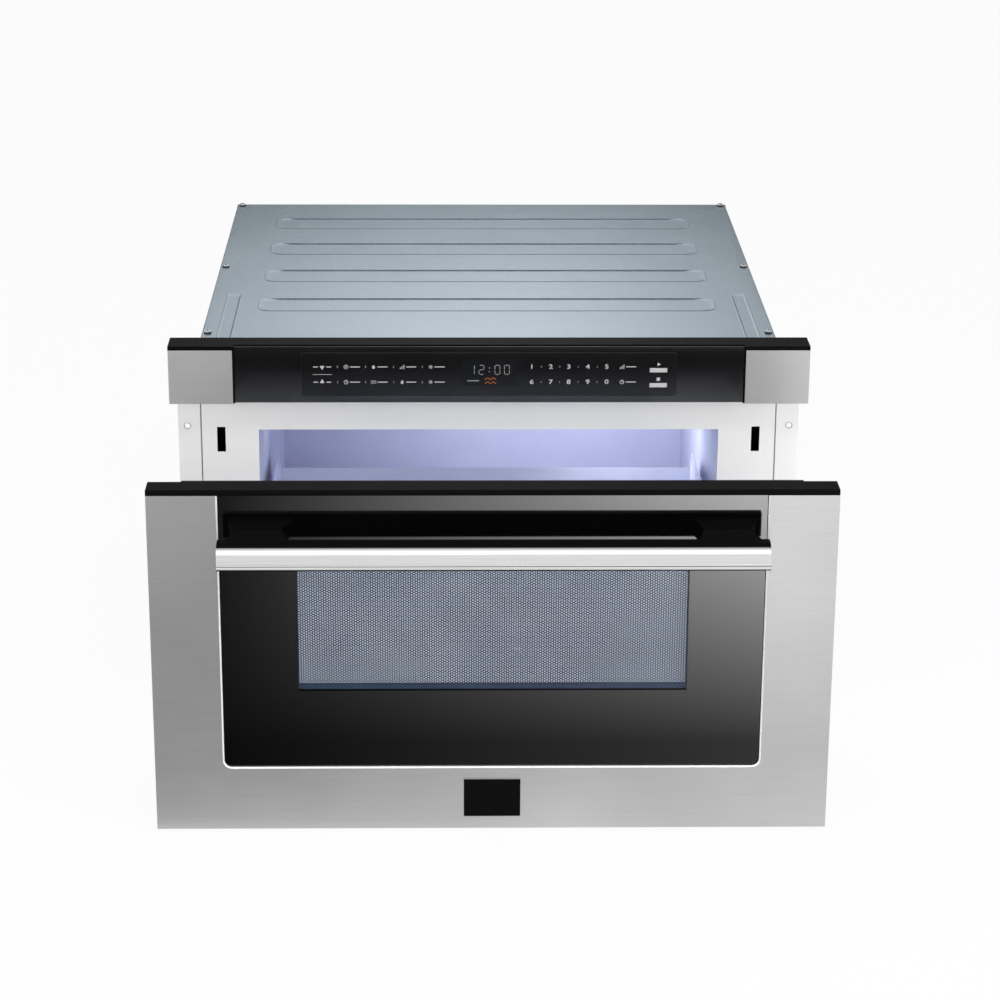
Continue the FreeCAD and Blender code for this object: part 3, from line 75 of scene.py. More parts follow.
class Socket:
    """A socket of a node. Sums and products of sockets add Math nodes."""

    def __init__(self, tree, socket=None):
        self.tree = tree
        self.socket = socket

    def node(self, kind, values=None, output=0, **settings):
        """Add a node: its settings first, then the values or links of its sockets."""
        made = self.tree.nodes.new("ShaderNode" + kind)
        stops = settings.pop("stops", None)
        for name, setting in settings.items():
            setattr(made, name, setting)
        if stops:
            ramp = made.color_ramp
            while len(ramp.elements) < len(stops):
                ramp.elements.new(0.5)
            for element, (place, colour) in zip(ramp.elements, stops):
                element.position = place
                element.color = (*colour, 1)
        for name, value in (values or {}).items():
            if isinstance(value, Socket):
                self.tree.links.new(value.socket, made.inputs[name])
            else:
                made.inputs[name].default_value = value
        return Socket(self.tree, made.outputs[output])

    def maths(self, operation, *values):
        """Add a Math node that starts from this socket."""
        return self.node("Math", dict(enumerate((self, *values))), operation=operation)

    def __add__(self, other):
        return self.maths("ADD", other)

    def __radd__(self, other):
        return self + other

    def __mul__(self, other):
        return self.maths("MULTIPLY", other)

    def __rsub__(self, other):
        return self.maths("MULTIPLY_ADD", -1, other)

    def steps(self, low, high):
        """Rise from 0 at one value to 1 at another."""
        return self.node("MapRange", {"Value": self, "From Min": low, "From Max": high})

    def between(self, low, high, edge):
        """Be 1 between two values and fall to 0 past them."""
        return self.steps(low - edge, low + edge) * (1 - self.steps(high - edge, high + edge))

    def blend(self, first, second):
        """Mix two colours by this value."""
        values = {"Factor": self, 6: first, 7: second}
        return self.node("Mix", values, output=2, data_type="RGBA")


def new_finish(name):
    """Start a material and give its tree and the place of a point in metres."""
    material = bpy.data.materials.new(name)
    material.use_nodes = True
    tree = Socket(material.node_tree)
    place = tree.node("TexCoord", output=3)
    return material, tree, place


def finish(material, **values):
    """Set the sockets of a material's surface. An underscore in a name stands for a space."""
    surface = material.node_tree.nodes["Principled BSDF"]
    for name, value in values.items():
        socket = surface.inputs[name.replace("_", " ")]
        if isinstance(value, Socket):
            material.node_tree.links.new(value.socket, socket)
        else:
            socket.default_value = value
    return material


def colour(red, green, blue):
    """Give a colour as it shows on a screen, from 0 to 1, in the form that a shader takes."""
    return tuple(((part + 0.055) / 1.055) ** 2.4 for part in (red, green, blue)) + (1,)


def stretched(tree, place, scale):
    """Scale the place along each axis, so that a pattern is longer along one of them."""
    return tree.node("Mapping", {"Vector": place, "Scale": scale})


def grain(tree, place, scale, detail=3, roughness=0.6):
    """Make a soft random pattern with so many features per metre."""
    values = {"Vector": place, "Scale": scale, "Detail": detail, "Roughness": roughness}
    return tree.node("TexNoise", values)


def bump(tree, height, depth):
    """Raise a surface by a pattern, with its depth in metres."""
    return tree.node("Bump", {"Height": height, "Strength": 1, "Distance": depth})


def mottled(name, scale, dark, pale, roughness, detail=2, contrast=(0.3, 0.7), depth=0,
            stretch=(1, 1, 1), **values):
    """Make a finish whose colour and gloss follow one soft pattern.

    The roughness is given as its least value and its spread, and the contrast as the two values
    of the pattern between which the dark colour turns into the pale one.
    """
    material, tree, place = new_finish(name)
    pattern = grain(tree, stretched(tree, place, stretch), scale, detail)
    base = pattern.steps(*contrast).blend(colour(*dark), colour(*pale))
    if depth:
        values["Normal"] = bump(tree, pattern, depth)
    least, spread = roughness
    return finish(material, Base_Color=base, Roughness=least + pattern * spread, **values)


def show(surface, end="Material Output"):
    """Take a surface to the end of its tree."""
    surface.tree.links.new(surface.socket, surface.tree.nodes[end].inputs["Surface"])


def dress(material, *pieces):
    """Give each piece one material all over."""
    for piece in pieces:
        piece = nodes[piece] if isinstance(piece, str) else piece
        if not piece.material_slots:
            piece.data.materials.append(material)
        for slot in piece.material_slots:
            slot.material = material


# ---- Studio ----------------------------------------------------------------------------------
# A pale floor under a white backdrop, with soft lights above, in front and on each side. Two cards,
# one on the floor in front of the drawer and one behind the case, show only in what is polished.

FLOOR_SIZE = 14
FLOOR_GLOW = 0.93
WHITE = (1, 1, 1, 1)


def soft_light(name, place, aim, size, power):
    """Hang a square soft light and turn it towards a point."""
    bpy.ops.object.light_add(type="AREA", location=place)
    light = bpy.context.object
    light.name = name
    light.rotation_euler = (Vector(aim) - Vector(place)).to_track_quat("-Z", "Y").to_euler()
    light.data.shape = "RECTANGLE"
    light.data.size, light.data.size_y = size
    light.data.energy = power
    light.visible_camera = False
    light.visible_glossy = False


soft_light("light_above", place=(0.05, -1.0, 1.7), aim=(0.02, -0.25, 0.35), size=(1.2, 0.7), power=14)
soft_light("light_front", place=(0.4, -3.3, 0.7), aim=(0, -0.3, 0.3), size=(1.6, 1.0), power=32)
soft_light("light_left", place=(-2.2, -1.8, 1.0), aim=(0, -0.3, 0.2), size=(1.2, 1.2), power=7)
soft_light("light_right", place=(2.2, -1.8, 1.0), aim=(0, -0.3, 0.2), size=(1.2, 1.2), power=15)

# The camera and what is see-through show plain white. What is polished mirrors a room that is pale
# at the sides and dark overhead, with one ceiling in front of the object and a darker one behind it.
world = bpy.data.worlds.new("studio")
bpy.context.scene.world = world
world.use_nodes = True
sky = Socket(world.node_tree)
mirrored = sky.node("LightPath", output="Is Glossy Ray")
through = sky.node("LightPath", output="Is Transmission Ray")
direct = sky.node("LightPath", output="Is Camera Ray")
width, depth, height = (
    sky.node("SeparateXYZ", {0: sky.node("TexCoord", output=0)}, output=axis) for axis in range(3))
near_ceiling = height.node("ValToRGB", {0: height}, stops=(
    (0.0, (0.75, 0.75, 0.75)), (0.27, (0.6, 0.6, 0.6)), (0.42, (1, 1, 1)), (0.8, (1, 1, 1)),
    (0.95, (0.4, 0.4, 0.4)), (1.0, (0.03, 0.03, 0.03)),
))
far_ceiling = height.node("ValToRGB", {0: height}, stops=(
    (0.0, (1, 1, 1)), (0.4, (0.7, 0.7, 0.7)), (0.65, (0.1, 0.1, 0.1)), (1.0, (0.05, 0.05, 0.05)),
))
low_side = 0.7 + width.steps(-0.25, 0.3) * 0.7
raised = height.steps(0.02, 0.15)
front_tone = low_side * (1 - raised) + raised * (1.6 - width.steps(-0.3, 0.3) * 0.3)
near_view = sky.node("Background", {"Color": near_ceiling, "Strength": front_tone})
far_view = sky.node("Background", {"Color": far_ceiling, "Strength": 1})
metal_view = sky.node("MixShader", {0: depth.steps(-0.1, 0.1), 1: near_view, 2: far_view})
plain_white = sky.node("Background", {"Color": WHITE, "Strength": 1})
soft_fill = sky.node("Background", {"Color": WHITE, "Strength": 0.6})
shown = sky.node("MixShader", {0: mirrored, 1: soft_fill, 2: metal_view})
shown = sky.node("MixShader", {0: direct.maths("MAXIMUM", through), 1: shown, 2: plain_white})
show(shown, "World Output")

bpy.ops.mesh.primitive_plane_add(size=FLOOR_SIZE)
floor = bpy.context.object
floor.name = "floor"
floor_paint, tree, place = new_finish("floor_paint")
seen_white = tree.node("LightPath", output="Is Camera Ray")
for kind in ("Is Glossy Ray", "Is Transmission Ray"):
    seen_white = seen_white.maths("MAXIMUM", tree.node("LightPath", output=kind))
paint = tree.node("BsdfDiffuse", {"Color": grain(tree, place, 3).steps(0.2, 0.8).blend(
    colour(0.9, 0.9, 0.9), colour(0.92, 0.92, 0.92))})
glow = tree.node("Emission", {"Color": WHITE, "Strength": 1})
show(tree.node("MixShader", {0: seen_white * FLOOR_GLOW, 1: paint, 2: glow}))
dress(floor_paint, floor)


def add_plate(middle, size, turn=0):
    """Add a flat rectangle with its size in its mesh. It faces up unless it is turned."""
    bpy.ops.mesh.primitive_plane_add(size=1, location=middle, rotation=(turn, 0, 0))
    bpy.context.object.scale = (*size, 1)
    bpy.ops.object.transform_apply()
    return bpy.context.object


def reflection_card(name, middle, size, turn, axes, glow):
    """Set a card that shows only in what is polished, with a glow that changes along two axes."""
    card = add_plate(middle, size, turn)
    card.name = name
    card_print, tree, place = new_finish(name)
    strength = glow(*(tree.node("SeparateXYZ", {0: place}, output=axis) for axis in axes))
    show(tree.node("Emission", {"Color": WHITE, "Strength": strength}))
    dress(card_print, card)
    card.visible_camera = False
    card.visible_diffuse = False
    card.visible_shadow = False
    card.visible_transmission = False


GLASS_REACH = (-0.36, 0.33)
FADE_TO_DRAWER = (-1.445, -0.735)
BORDER_START = (-0.66, -0.63)
WALL_FADE = (0.48, 0.73)


def floor_glow(across, away):
    """Brighten to the right and away from the drawer, and again where its lower border looks."""
    tone = 0.01 + across.steps(*GLASS_REACH).maths("POWER", 1.6) * 1.14
    border = away.steps(*BORDER_START) * (0.45 + across.steps(-0.3, 0.05) * 0.33)
    return tone * (0.25 + (1 - away.steps(*FADE_TO_DRAWER)) * 2.65) + border


def wall_glow(across, up):
    """Brighten upwards and towards the middle."""
    side = across.steps(-0.5, 0.0) * (1 - across.steps(0.08, 0.42))
    return (0.25 + up.steps(*WALL_FADE) * 1.9) * (0.45 + side * 0.6)


reflection_card("floor_card", (0.0, -1.3, 0.001), (0.94, 1.49), 0, (0, 1), floor_glow)
reflection_card("rear_card", (0.05, 0.65, 0.72), (1.9, 0.7), math.pi / 2, (0, 2), wall_glow)


# ---- Galvanised case -------------------------------------------------------------------------
# The top and both sides are one sheet of hot-dip galvanised steel, folded down at the sides. Four
# long ribs and two short ones are pressed down into its top and stiffen it.

SHEET = 0.001
SHEET_EDGE = 0.0004
FOLD_RADIUS = 0.002
RIB_DEPTH = 0.0007
RIB_SLOPE = 0.0018
RIB_LIP = 0.0007
RIB_LIP_RISE = 0.0004
RIB_CORNER = 0.013
RIB_RUN_OUT = 0.009
LONG_RIB = (0.455, 0.047)
LONG_RIB_PITCH = 0.110
FIRST_RIB_BACK = 0.0897
SHORT_RIB = (0.015, 0.170)
SHORT_RIB_INSET = 0.0227
SHORT_RIB_START = 0.012
SHORT_RIB_CORNER = 0.004


def galvanised_finish():
    """Zinc on steel: blue-grey, satin, with a fine spangle and faint clouds and rolling marks."""
    material, tree, place = new_finish("galvanised")
    spangle = tree.node("TexVoronoi", {"Vector": place, "Scale": 520}, output=1)
    flake = tree.node("SeparateColor", {0: spangle}, output=0)
    cloud = grain(tree, place, 5, 4)
    rolled = grain(tree, stretched(tree, place, (4, 180, 60)), 2, 3)
    tone = flake * 0.3 + cloud * 0.45 + rolled * 0.25
    base = tone.steps(0.25, 0.75).blend(colour(0.52, 0.58, 0.625), colour(0.62, 0.68, 0.72))
    rough = 0.27 + flake * 0.08 + cloud * 0.06
    return finish(
        material, Base_Color=base, Metallic=0.8, Roughness=rough,
        Normal=bump(tree, flake * 0.5 + rolled * 0.5, 0.00002),
    )


galvanised = galvanised_finish()


def enter(mode):
    """Go to edit mode or back to object mode."""
    bpy.ops.object.mode_set(mode=mode)


# Points are level within the first distance, and one point within the second.
TOLERANCE = 1e-5
WELD = 1e-6


def select_faces(piece, wanted):
    """Select the faces of a piece that a test picks, and nothing else, in edit mode."""
    bpy.ops.mesh.select_all(action="DESELECT")
    enter("OBJECT")
    for face in piece.data.polygons:
        face.select = wanted(face)
    enter("EDIT")


def select_edges(piece, wanted):
    """Select the edges of a piece whose two ends a test picks, in edit mode."""
    bpy.ops.mesh.select_all(action="DESELECT")
    enter("OBJECT")
    points = piece.data.vertices
    for edge in piece.data.edges:
        edge.select = wanted(points[edge.vertices[0]].co, points[edge.vertices[1]].co)
    enter("EDIT")
    bpy.ops.mesh.select_mode(type="EDGE")


def use_modifier(piece, kind, **settings):
    """Add a modifier to a piece and apply it."""
    modifier = piece.modifiers.new(kind.title(), kind)
    for name, setting in settings.items():
        setattr(modifier, name, setting)
    bpy.context.view_layer.objects.active = piece
    bpy.ops.object.modifier_apply(modifier=modifier.name)


def round_edges(piece, width, angle, segments=2):
    """Round every edge that turns by more than an angle in degrees."""
    use_modifier(piece, "BEVEL", width=width, segments=segments, limit_method="ANGLE",
                 angle_limit=math.radians(angle))


def register(piece, body, node=None):
    """Say what part of the frame a piece replaces and what it rides on."""
    if node:
        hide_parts(node)
    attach(piece, body)


def select_only(*pieces):
    """Select some pieces and nothing else, and make the first the active one."""
    bpy.ops.object.select_all(action="DESELECT")
    for piece in pieces:
        piece.select_set(True)
    bpy.context.view_layer.objects.active = pieces[0]


def smooth(piece, angle):
    """Shade a piece smooth except where it turns by more than an angle in degrees."""
    select_only(piece)
    bpy.ops.object.shade_smooth_by_angle(angle=math.radians(angle))
    use_modifier(piece, "WEIGHTED_NORMAL", keep_sharp=True)
    bpy.ops.object.select_all(action="DESELECT")


def join_pieces(name, pieces):
    """Join pieces into one object with its origin at the frame's origin."""
    select_only(*pieces)
    if len(pieces) > 1:
        bpy.ops.object.join()
    bpy.ops.object.transform_apply()
    joined = bpy.context.object
    joined.name = name
    joined.data.name = name
    bpy.ops.object.select_all(action="DESELECT")
    return joined


def add_block(low, high, name="block"):
    """Add a block between two corners, with its size in its mesh."""
    low, high = Vector(low), Vector(high)
    bpy.ops.mesh.primitive_cube_add(size=1, location=(low + high) / 2)
    block = bpy.context.object
    block.name = name
    block.data.name = name
    block.scale = high - low
    bpy.ops.object.transform_apply()
    return block


def pressed_rib(middle, size, corner):
    """Draw the rounded outline of a rib and sink its floor, on a long slope at both ends."""
    rib = add_plate(middle, size)
    enter("EDIT")
    bpy.ops.mesh.select_all(action="SELECT")
    bpy.ops.mesh.bevel(offset=corner, segments=8, affect="VERTICES")
    bpy.ops.mesh.inset(thickness=RIB_LIP, depth=RIB_LIP_RISE)
    bpy.ops.mesh.inset(thickness=RIB_SLOPE, depth=-RIB_DEPTH - RIB_LIP_RISE)
    if size[0] > size[1]:
        shrink = (1 - 2 * RIB_RUN_OUT / size[0], 1, 1)
    else:
        shrink = (1, 1 - 2 * RIB_RUN_OUT / size[1], 1)
    bpy.ops.transform.resize(value=shrink, center_override=middle)
    enter("OBJECT")
    return rib


case_low, case_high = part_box("outer_case")
top = case_high.z
ribs = []
for step in range(4):
    rib_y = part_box("back_panel")[1].y - FIRST_RIB_BACK - step * LONG_RIB_PITCH
    ribs.append(pressed_rib((0, rib_y, top), LONG_RIB, RIB_CORNER))
for side in (-1, 1):
    rib_x = side * (case_high.x - SHORT_RIB_INSET)
    rib_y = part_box("face_plate")[0].y + SHORT_RIB_START + SHORT_RIB[1] / 2
    ribs.append(pressed_rib((rib_x, rib_y, top), SHORT_RIB, SHORT_RIB_CORNER))
sheet_middle = (0, (case_low.y + case_high.y) / 2, top)
sheet = add_plate(sheet_middle, (case_high.x - case_low.x, case_high.y - case_low.y))
enter("EDIT")
bpy.ops.mesh.select_all(action="SELECT")
bpy.ops.mesh.delete(type="ONLY_FACE")
enter("OBJECT")
case = join_pieces("case_cover", [sheet, *ribs])
bpy.context.view_layer.objects.active = case
enter("EDIT")
bpy.ops.mesh.select_mode(type="EDGE")
bpy.ops.mesh.select_all(action="DESELECT")
bpy.ops.mesh.select_non_manifold(extend=False, use_wire=True, use_boundary=True)
bpy.ops.mesh.fill(use_beauty=True)
for side in (case_low.x, case_high.x):
    select_edges(case, lambda a, b: abs(a.x - side) < TOLERANCE and abs(b.x - side) < TOLERANCE)
    bpy.ops.mesh.extrude_region_move(TRANSFORM_OT_translate={"value": (0, 0, case_low.z - top)})
for side in (case_low.x, case_high.x):
    select_edges(case, lambda a, b: max(abs(a.x - side), abs(b.x - side)) < TOLERANCE
                 and min(a.z, b.z) > top - TOLERANCE)
    bpy.ops.mesh.bevel(offset=FOLD_RADIUS, segments=4, affect="EDGES")
bpy.ops.mesh.select_all(action="SELECT")
bpy.ops.mesh.remove_doubles(threshold=WELD)
bpy.ops.mesh.normals_make_consistent(inside=False)
enter("OBJECT")
if sum(face.normal.z * face.area for face in case.data.polygons) < 0:
    case.data.flip_normals()
use_modifier(case, "SOLIDIFY", thickness=SHEET, offset=-1)
round_edges(case, SHEET_EDGE, angle=25)
smooth(case, angle=20)
dress(galvanised, case)
register(case, "cabinet", "outer_case")


# ---- Other sheet parts of the case -----------------------------------------------------------
# The base, the back with its vents, the rails, the waveguide, the lamp's housing and the air duct
# are cut and folded from the same galvanised sheet.

def copy_part(name, node):
    """Copy a part of the frame and weld its faces. The copy stays in edit mode."""
    piece = bpy.data.objects.new(name, nodes[node].data.copy())
    piece.data.name = name
    piece.data.materials.clear()
    bpy.context.scene.collection.objects.link(piece)
    select_only(piece)
    enter("EDIT")
    bpy.ops.mesh.select_all(action="SELECT")
    bpy.ops.mesh.remove_doubles(threshold=WELD)
    bpy.ops.mesh.dissolve_limited(angle_limit=math.radians(0.5))
    return piece


def soften(name, node, body, material, edge, segments=2):
    """Copy a part of the frame and round its edges a little."""
    piece = copy_part(name, node)
    enter("OBJECT")
    round_edges(piece, edge, 32, segments)
    smooth(piece, angle=32)
    dress(material, piece)
    register(piece, body, node)
    return piece


dress(
    galvanised, "base_plate", "back_panel", "waveguide", "air_duct", "lamp_housing",
    "outer_rail_left", "outer_rail_right", "middle_rail_left", "middle_rail_right",
    "inner_rail_left", "inner_rail_right",
)


# ---- Case screws -----------------------------------------------------------------------------
# Six zinc-plated pan-head screws with a cross recess hold the cover down along its sides.

SCREW_RADIUS = 0.0034
SCREW_HEIGHT = 0.0026
SCREW_INSET = 0.0062
MIDDLE_SCREW = 0.0062
FRONT_SCREW_INSET = 0.0388

# Bright zinc plate is nearly white metal with a fine turned grain. In the cross recess and round
# the flange a dark zinc is painted on: painted shade, with the dirt that gathers there.
bright_zinc = mottled(
    "bright_zinc", 900, (0.66, 0.67, 0.69), (0.92, 0.93, 0.94), (0.18, 0.15), depth=0.00001,
    Metallic=1,
)
zinc_painted_shade_and_dirt = mottled(
    "zinc_painted_shade_and_dirt", 900, (0.1, 0.11, 0.12), (0.22, 0.23, 0.25), (0.45, 0.15), Metallic=0.4)


def pan_head(middle, radius, height):
    """Shape one domed screw head on a thin flange, with a cross cut in its top."""
    bpy.ops.mesh.primitive_cylinder_add(
        vertices=24, radius=radius, depth=height,
        location=Vector(middle) + Vector((0, 0, height / 2)))
    head = bpy.context.object
    bpy.ops.object.transform_apply()
    enter("EDIT")
    crown = middle[2] + height
    select_edges(head, lambda a, b: min(a.z, b.z) > crown - TOLERANCE)
    bpy.ops.mesh.bevel(offset=height * 0.4, segments=4, affect="EDGES")
    enter("OBJECT")
    bpy.ops.mesh.primitive_cylinder_add(
        vertices=24, radius=radius * 1.1, depth=height * 0.3,
        location=Vector(middle) + Vector((0, 0, height * 0.15)))
    head = join_pieces("screw_head", [head, bpy.context.object])
    cutters = []
    for wide, deep in ((radius * 0.58, radius * 0.12), (radius * 0.12, radius * 0.58)):
        reach = Vector((wide, deep, height / 2))
        centre = Vector((middle[0], middle[1], crown))
        cutters.append(add_block(centre - reach, centre + reach))
    for cutter in cutters:
        use_modifier(head, "BOOLEAN", operation="DIFFERENCE", object=cutter, solver="EXACT")
        bpy.data.objects.remove(cutter)
    return head


heads = []
screw_rows = (case_high.y - SCREW_INSET + SHEET, MIDDLE_SCREW, case_low.y + FRONT_SCREW_INSET)
for screw_y in screw_rows:
    for side in (-1, 1):
        place = (side * (case_high.x - SCREW_INSET), screw_y, top)
        heads.append(pan_head(place, SCREW_RADIUS, SCREW_HEIGHT))
screws = join_pieces("cover_screws", heads)
smooth(screws, angle=40)
dress(bright_zinc, screws)
# The lower half of each head, its flange and the floor of its cross recess take the dark zinc: painted
# shade with dirt.
screws.data.materials.append(zinc_painted_shade_and_dirt)
for face in screws.data.polygons:
    face.material_index = 1 if face.center.z < top + SCREW_HEIGHT * 0.55 else 0
register(screws, "cabinet", "case_screws")


# ---- Face plate ------------------------------------------------------------------------------
# The flat front of the case is a steel plate with light grey powder paint. The drawer seals
# against it, and the latch hooks pass through its tall slots. A flange on each side holds the
# oven in its cabinet by screws through zinc eyelets, and a narrow seam parts it from the plate.

PAINT_EDGE = 0.00025
SEAM = 0.0012
FLANGE_HOLE_X = 0.2886
FLANGE_HOLE_Z = (0.0600, 0.3019)
EYELET_RADIUS = 0.0030
EYELET_RIM = 0.0004


def face_paint_finish():
    """Light grey paint with a faint orange peel."""
    material, tree, place = new_finish("face_paint")
    peel = grain(tree, place, 700, 2)
    cloud = grain(tree, place, 6, 3)
    base = cloud.steps(0.3, 0.7).blend(colour(0.915, 0.91, 0.905), colour(0.935, 0.93, 0.925))
    return finish(
        material, Base_Color=base, Roughness=0.38 + peel * 0.08, Normal=bump(tree, peel, 0.00002),
    )


face_paint = face_paint_finish()
face_panel = soften("face_panel", "face_plate", "cabinet", face_paint, PAINT_EDGE)
for corner in face_panel.data.vertices:
    if abs(corner.co.x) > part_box("face_plate")[1].x - 0.002:
        corner.co.x -= math.copysign(SEAM, corner.co.x)
for side in ("left", "right"):
    soften(
        f"flange_{side}", f"mount_flange_{side}", "cabinet", face_paint, PAINT_EDGE)

eyelets = []
for x in (-FLANGE_HOLE_X, FLANGE_HOLE_X):
    for z in FLANGE_HOLE_Z:
        bpy.ops.mesh.primitive_torus_add(
            major_radius=EYELET_RADIUS, minor_radius=EYELET_RIM, major_segments=32,
            minor_segments=8, location=(x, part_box("mount_flange_left")[0].y, z),
            rotation=(math.pi / 2, 0, 0))
        eyelets.append(bpy.context.object)
eyelets = join_pieces("flange_eyelets", eyelets)
smooth(eyelets, angle=60)
dress(bright_zinc, eyelets)
register(eyelets, "cabinet")


# ---- Cavity ----------------------------------------------------------------------------------
# The cooking cavity is a welded steel box with smooth blue-grey enamel. The tray that runs into it
# has the same enamel. Lamps under the roof light the cavity and its side walls, and a weak one
# lights the open tray.

LAMP_DROP = 0.012
WALL_LAMP_DROP = 0.006


def enamel_finish():
    """Blue-grey enamel, with the slight waviness of a fired coat."""
    material, tree, place = new_finish("cavity_enamel")
    wave = grain(tree, place, 24, 3)
    fleck = grain(tree, place, 1500, 1)
    base = (wave * 0.7 + fleck * 0.3).steps(0.3, 0.7).blend(
        colour(0.75, 0.765, 0.86), colour(0.78, 0.795, 0.88))
    return finish(
        material, Base_Color=base, Roughness=0.4 + wave * 0.1, Coat_Weight=0.1,
        Coat_Roughness=0.25, Normal=bump(tree, wave, 0.00004),
    )


enamel = enamel_finish()
soften("cavity_box", "cavity_shell", "cabinet", enamel, edge=0.0003)
soften("food_tray", "drawer_tray", "drawer", enamel, edge=0.0004)

cavity_low, cavity_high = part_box("cavity_shell")
soft_light(
    "light_cavity", place=(0.06, -0.05, cavity_high.z - LAMP_DROP), aim=(0.10, 0.06, cavity_low.z),
    size=(0.24, 0.14), power=1.05,
)
for name, side, power in (("light_wall_left", -1, 0.05), ("light_wall_right", 1, 0.07)):
    soft_light(
        name, place=(side * 0.205, -0.17, cavity_high.z - WALL_LAMP_DROP),
        aim=(side * 0.218, -0.17, cavity_low.z), size=(0.02, 0.2), power=power,
    )
soft_light(
    "light_tray", place=(0.06, -0.44, cavity_high.z), aim=(0.06, -0.47, cavity_low.z),
    size=(0.36, 0.08), power=0.09,
)


# The stirrer's cover is a matt white moulding with a fine grain.
white_plastic = mottled(
    "white_plastic", 1100, (0.84, 0.85, 0.86), (0.88, 0.885, 0.89), (0.5, 0.1), depth=0.00002)
dress(white_plastic, "stirrer_cover")


def ceramic_finish():
    """White glass ceramic with faint mottling under a satin face."""
    material, tree, place = new_finish("glass_ceramic")
    mottle = grain(tree, place, 60, 4)
    cloud = grain(tree, place, 9, 2)
    base = (mottle * 0.6 + cloud * 0.4).steps(0.3, 0.7).blend(
        colour(0.84, 0.87, 0.92), colour(0.93, 0.95, 0.97))
    return finish(material, Base_Color=base, Roughness=0.3 + mottle * 0.15)


dress(ceramic_finish(), "ceramic_floor")


# ---- Inner parts -----------------------------------------------------------------------------
# The magnetron, stirrer, transformer, capacitor, fan, drive and boards inside the case. Each has
# the plain finish that such a part is sold with.

def steel_finish():
    """Mill-finish steel with faint rolling marks and handling stains."""
    material, tree, place = new_finish("plain_steel")
    rolled = grain(tree, stretched(tree, place, (20, 400, 400)), 2, 3)
    stain = grain(tree, place, 14, 4)
    base = (rolled * 0.5 + stain * 0.5).steps(0.3, 0.7).blend(
        colour(0.42, 0.43, 0.45), colour(0.56, 0.57, 0.59))
    return finish(
        material, Base_Color=base, Metallic=0.95, Roughness=0.34 + stain * 0.2,
        Normal=bump(tree, rolled, 0.00001),
    )


plain_steel = steel_finish()
dress(
    plain_steel, "door_core", "latch_holders", "latch_hook_left", "latch_hook_right", "fan_motor",
    "stirrer_motor", "drive_motor", "hv_transformer",
)


# The magnetron, the stirrer's blade and the capacitor's can are pale drawn aluminium.
drawn_aluminium = mottled(
    "drawn_aluminium", 1, (0.72, 0.73, 0.74), (0.84, 0.85, 0.86), (0.28, 0.15), detail=3,
    depth=0.00001, stretch=(600, 40, 40), Metallic=1,
)
dress(drawn_aluminium, "magnetron", "stirrer_blade", "hv_capacitor")


def board_finish():
    """Green solder mask over copper tracks."""
    material, tree, place = new_finish("circuit_board")
    tracks = tree.node("TexBrick", {"Vector": place, "Scale": 60, "Mortar Size": 0.03}, output=1)
    cloud = grain(tree, place, 40, 2)
    base = (tracks * 0.6 + cloud * 0.3).steps(0, 1).blend(
        colour(0.08, 0.34, 0.2), colour(0.2, 0.5, 0.3))
    return finish(material, Base_Color=base, Roughness=0.35 + cloud * 0.2)


dress(board_finish(), "control_board", "filter_board")


def black_plastic_finish():
    """Satin black moulding with a very fine grain."""
    material, tree, place = new_finish("black_plastic")
    speck = grain(tree, place, 1400, 2)
    cloud = grain(tree, place, 12, 2)
    base = (speck * 0.5 + cloud * 0.5).steps(0.3, 0.7).blend(
        colour(0.03, 0.03, 0.032), colour(0.055, 0.055, 0.057))
    return finish(
        material, Base_Color=base, Roughness=0.45 + speck * 0.1, Specular_IOR_Level=0.02,
        Normal=bump(tree, speck, 0.00001),
    )


black_plastic = black_plastic_finish()
REFLECTION_FADE_START = 0.262
REFLECTION_FADE_END = 0.302


def reflection_fade_finish():
    """Pale grey paint fading to black at the top, where it shows: a painted reflection in the panel
    glass.
    """
    material, tree, place = new_finish("back_plate_reflection_fade")
    up = tree.node("SeparateXYZ", {0: place}, output=2)
    peel = grain(tree, place, 700, 2)
    pale = peel.blend(colour(0.84, 0.845, 0.85), colour(0.88, 0.885, 0.89))
    dark = peel.blend(colour(0.03, 0.03, 0.032), colour(0.055, 0.055, 0.057))
    base = up.steps(REFLECTION_FADE_START, REFLECTION_FADE_END).blend(pale, dark)
    return finish(material, Base_Color=base, Roughness=0.45 + peel * 0.1, Specular_IOR_Level=0.1)


back_plate_reflection_fade = reflection_fade_finish()
soften("drawer_back_plate", "door_inner_plate", "drawer", back_plate_reflection_fade, edge=0.0004)
# The choke cover has the same painted fade, which the panel's glass mirrors as a painted reflection.
dress(back_plate_reflection_fade, "choke_cover")
dress(
    black_plastic, "fan_housing", "fan_blade", "interlock_left", "interlock_right",
    "supply_gland", "drive_pinion", "drive_rack",
)


def clear_glass_finish():
    """Clear glass, seen as a faint tint over what lies behind it."""
    material, tree, place = new_finish("clear_glass")
    smear = grain(tree, place, 20, 3)
    tint = smear.blend(colour(0.85, 0.9, 0.92), colour(0.9, 0.94, 0.95))
    return finish(
        material, Base_Color=tint, Roughness=0.04 + smear * 0.04, Alpha=0.06 + smear * 0.06)


dress(clear_glass_finish(), "door_inner_glass", "cavity_lamp")


# ---- Control panel ---------------------------------------------------------------------------
# A dark glass stands between two folded stainless caps on a black plastic housing. The touch
# field in the middle of the glass carries printed digits and plain symbols round a display.

def brushed_finish():
    """Stainless steel brushed from side to side, with short fine scratches in a satin face."""
    material, tree, place = new_finish("brushed_stainless")
    fine = grain(tree, stretched(tree, place, (12, 900, 900)), 3, 4, 0.7)
    broad = grain(tree, stretched(tree, place, (5, 160, 160)), 2, 3)
    cloud = grain(tree, place, 7, 2)
    tone = fine * 0.4 + broad * 0.15 + cloud * 0.45
    base = tone.steps(0.32, 0.68).blend(colour(0.765, 0.76, 0.76), colour(0.845, 0.84, 0.84))
    return finish(
        material, Base_Color=base, Metallic=1, Roughness=0.4 + fine * 0.1, Anisotropic=0.85,
        Anisotropic_Rotation=0.25, Normal=bump(tree, fine * 0.7 + broad * 0.3, 0.00001),
    )


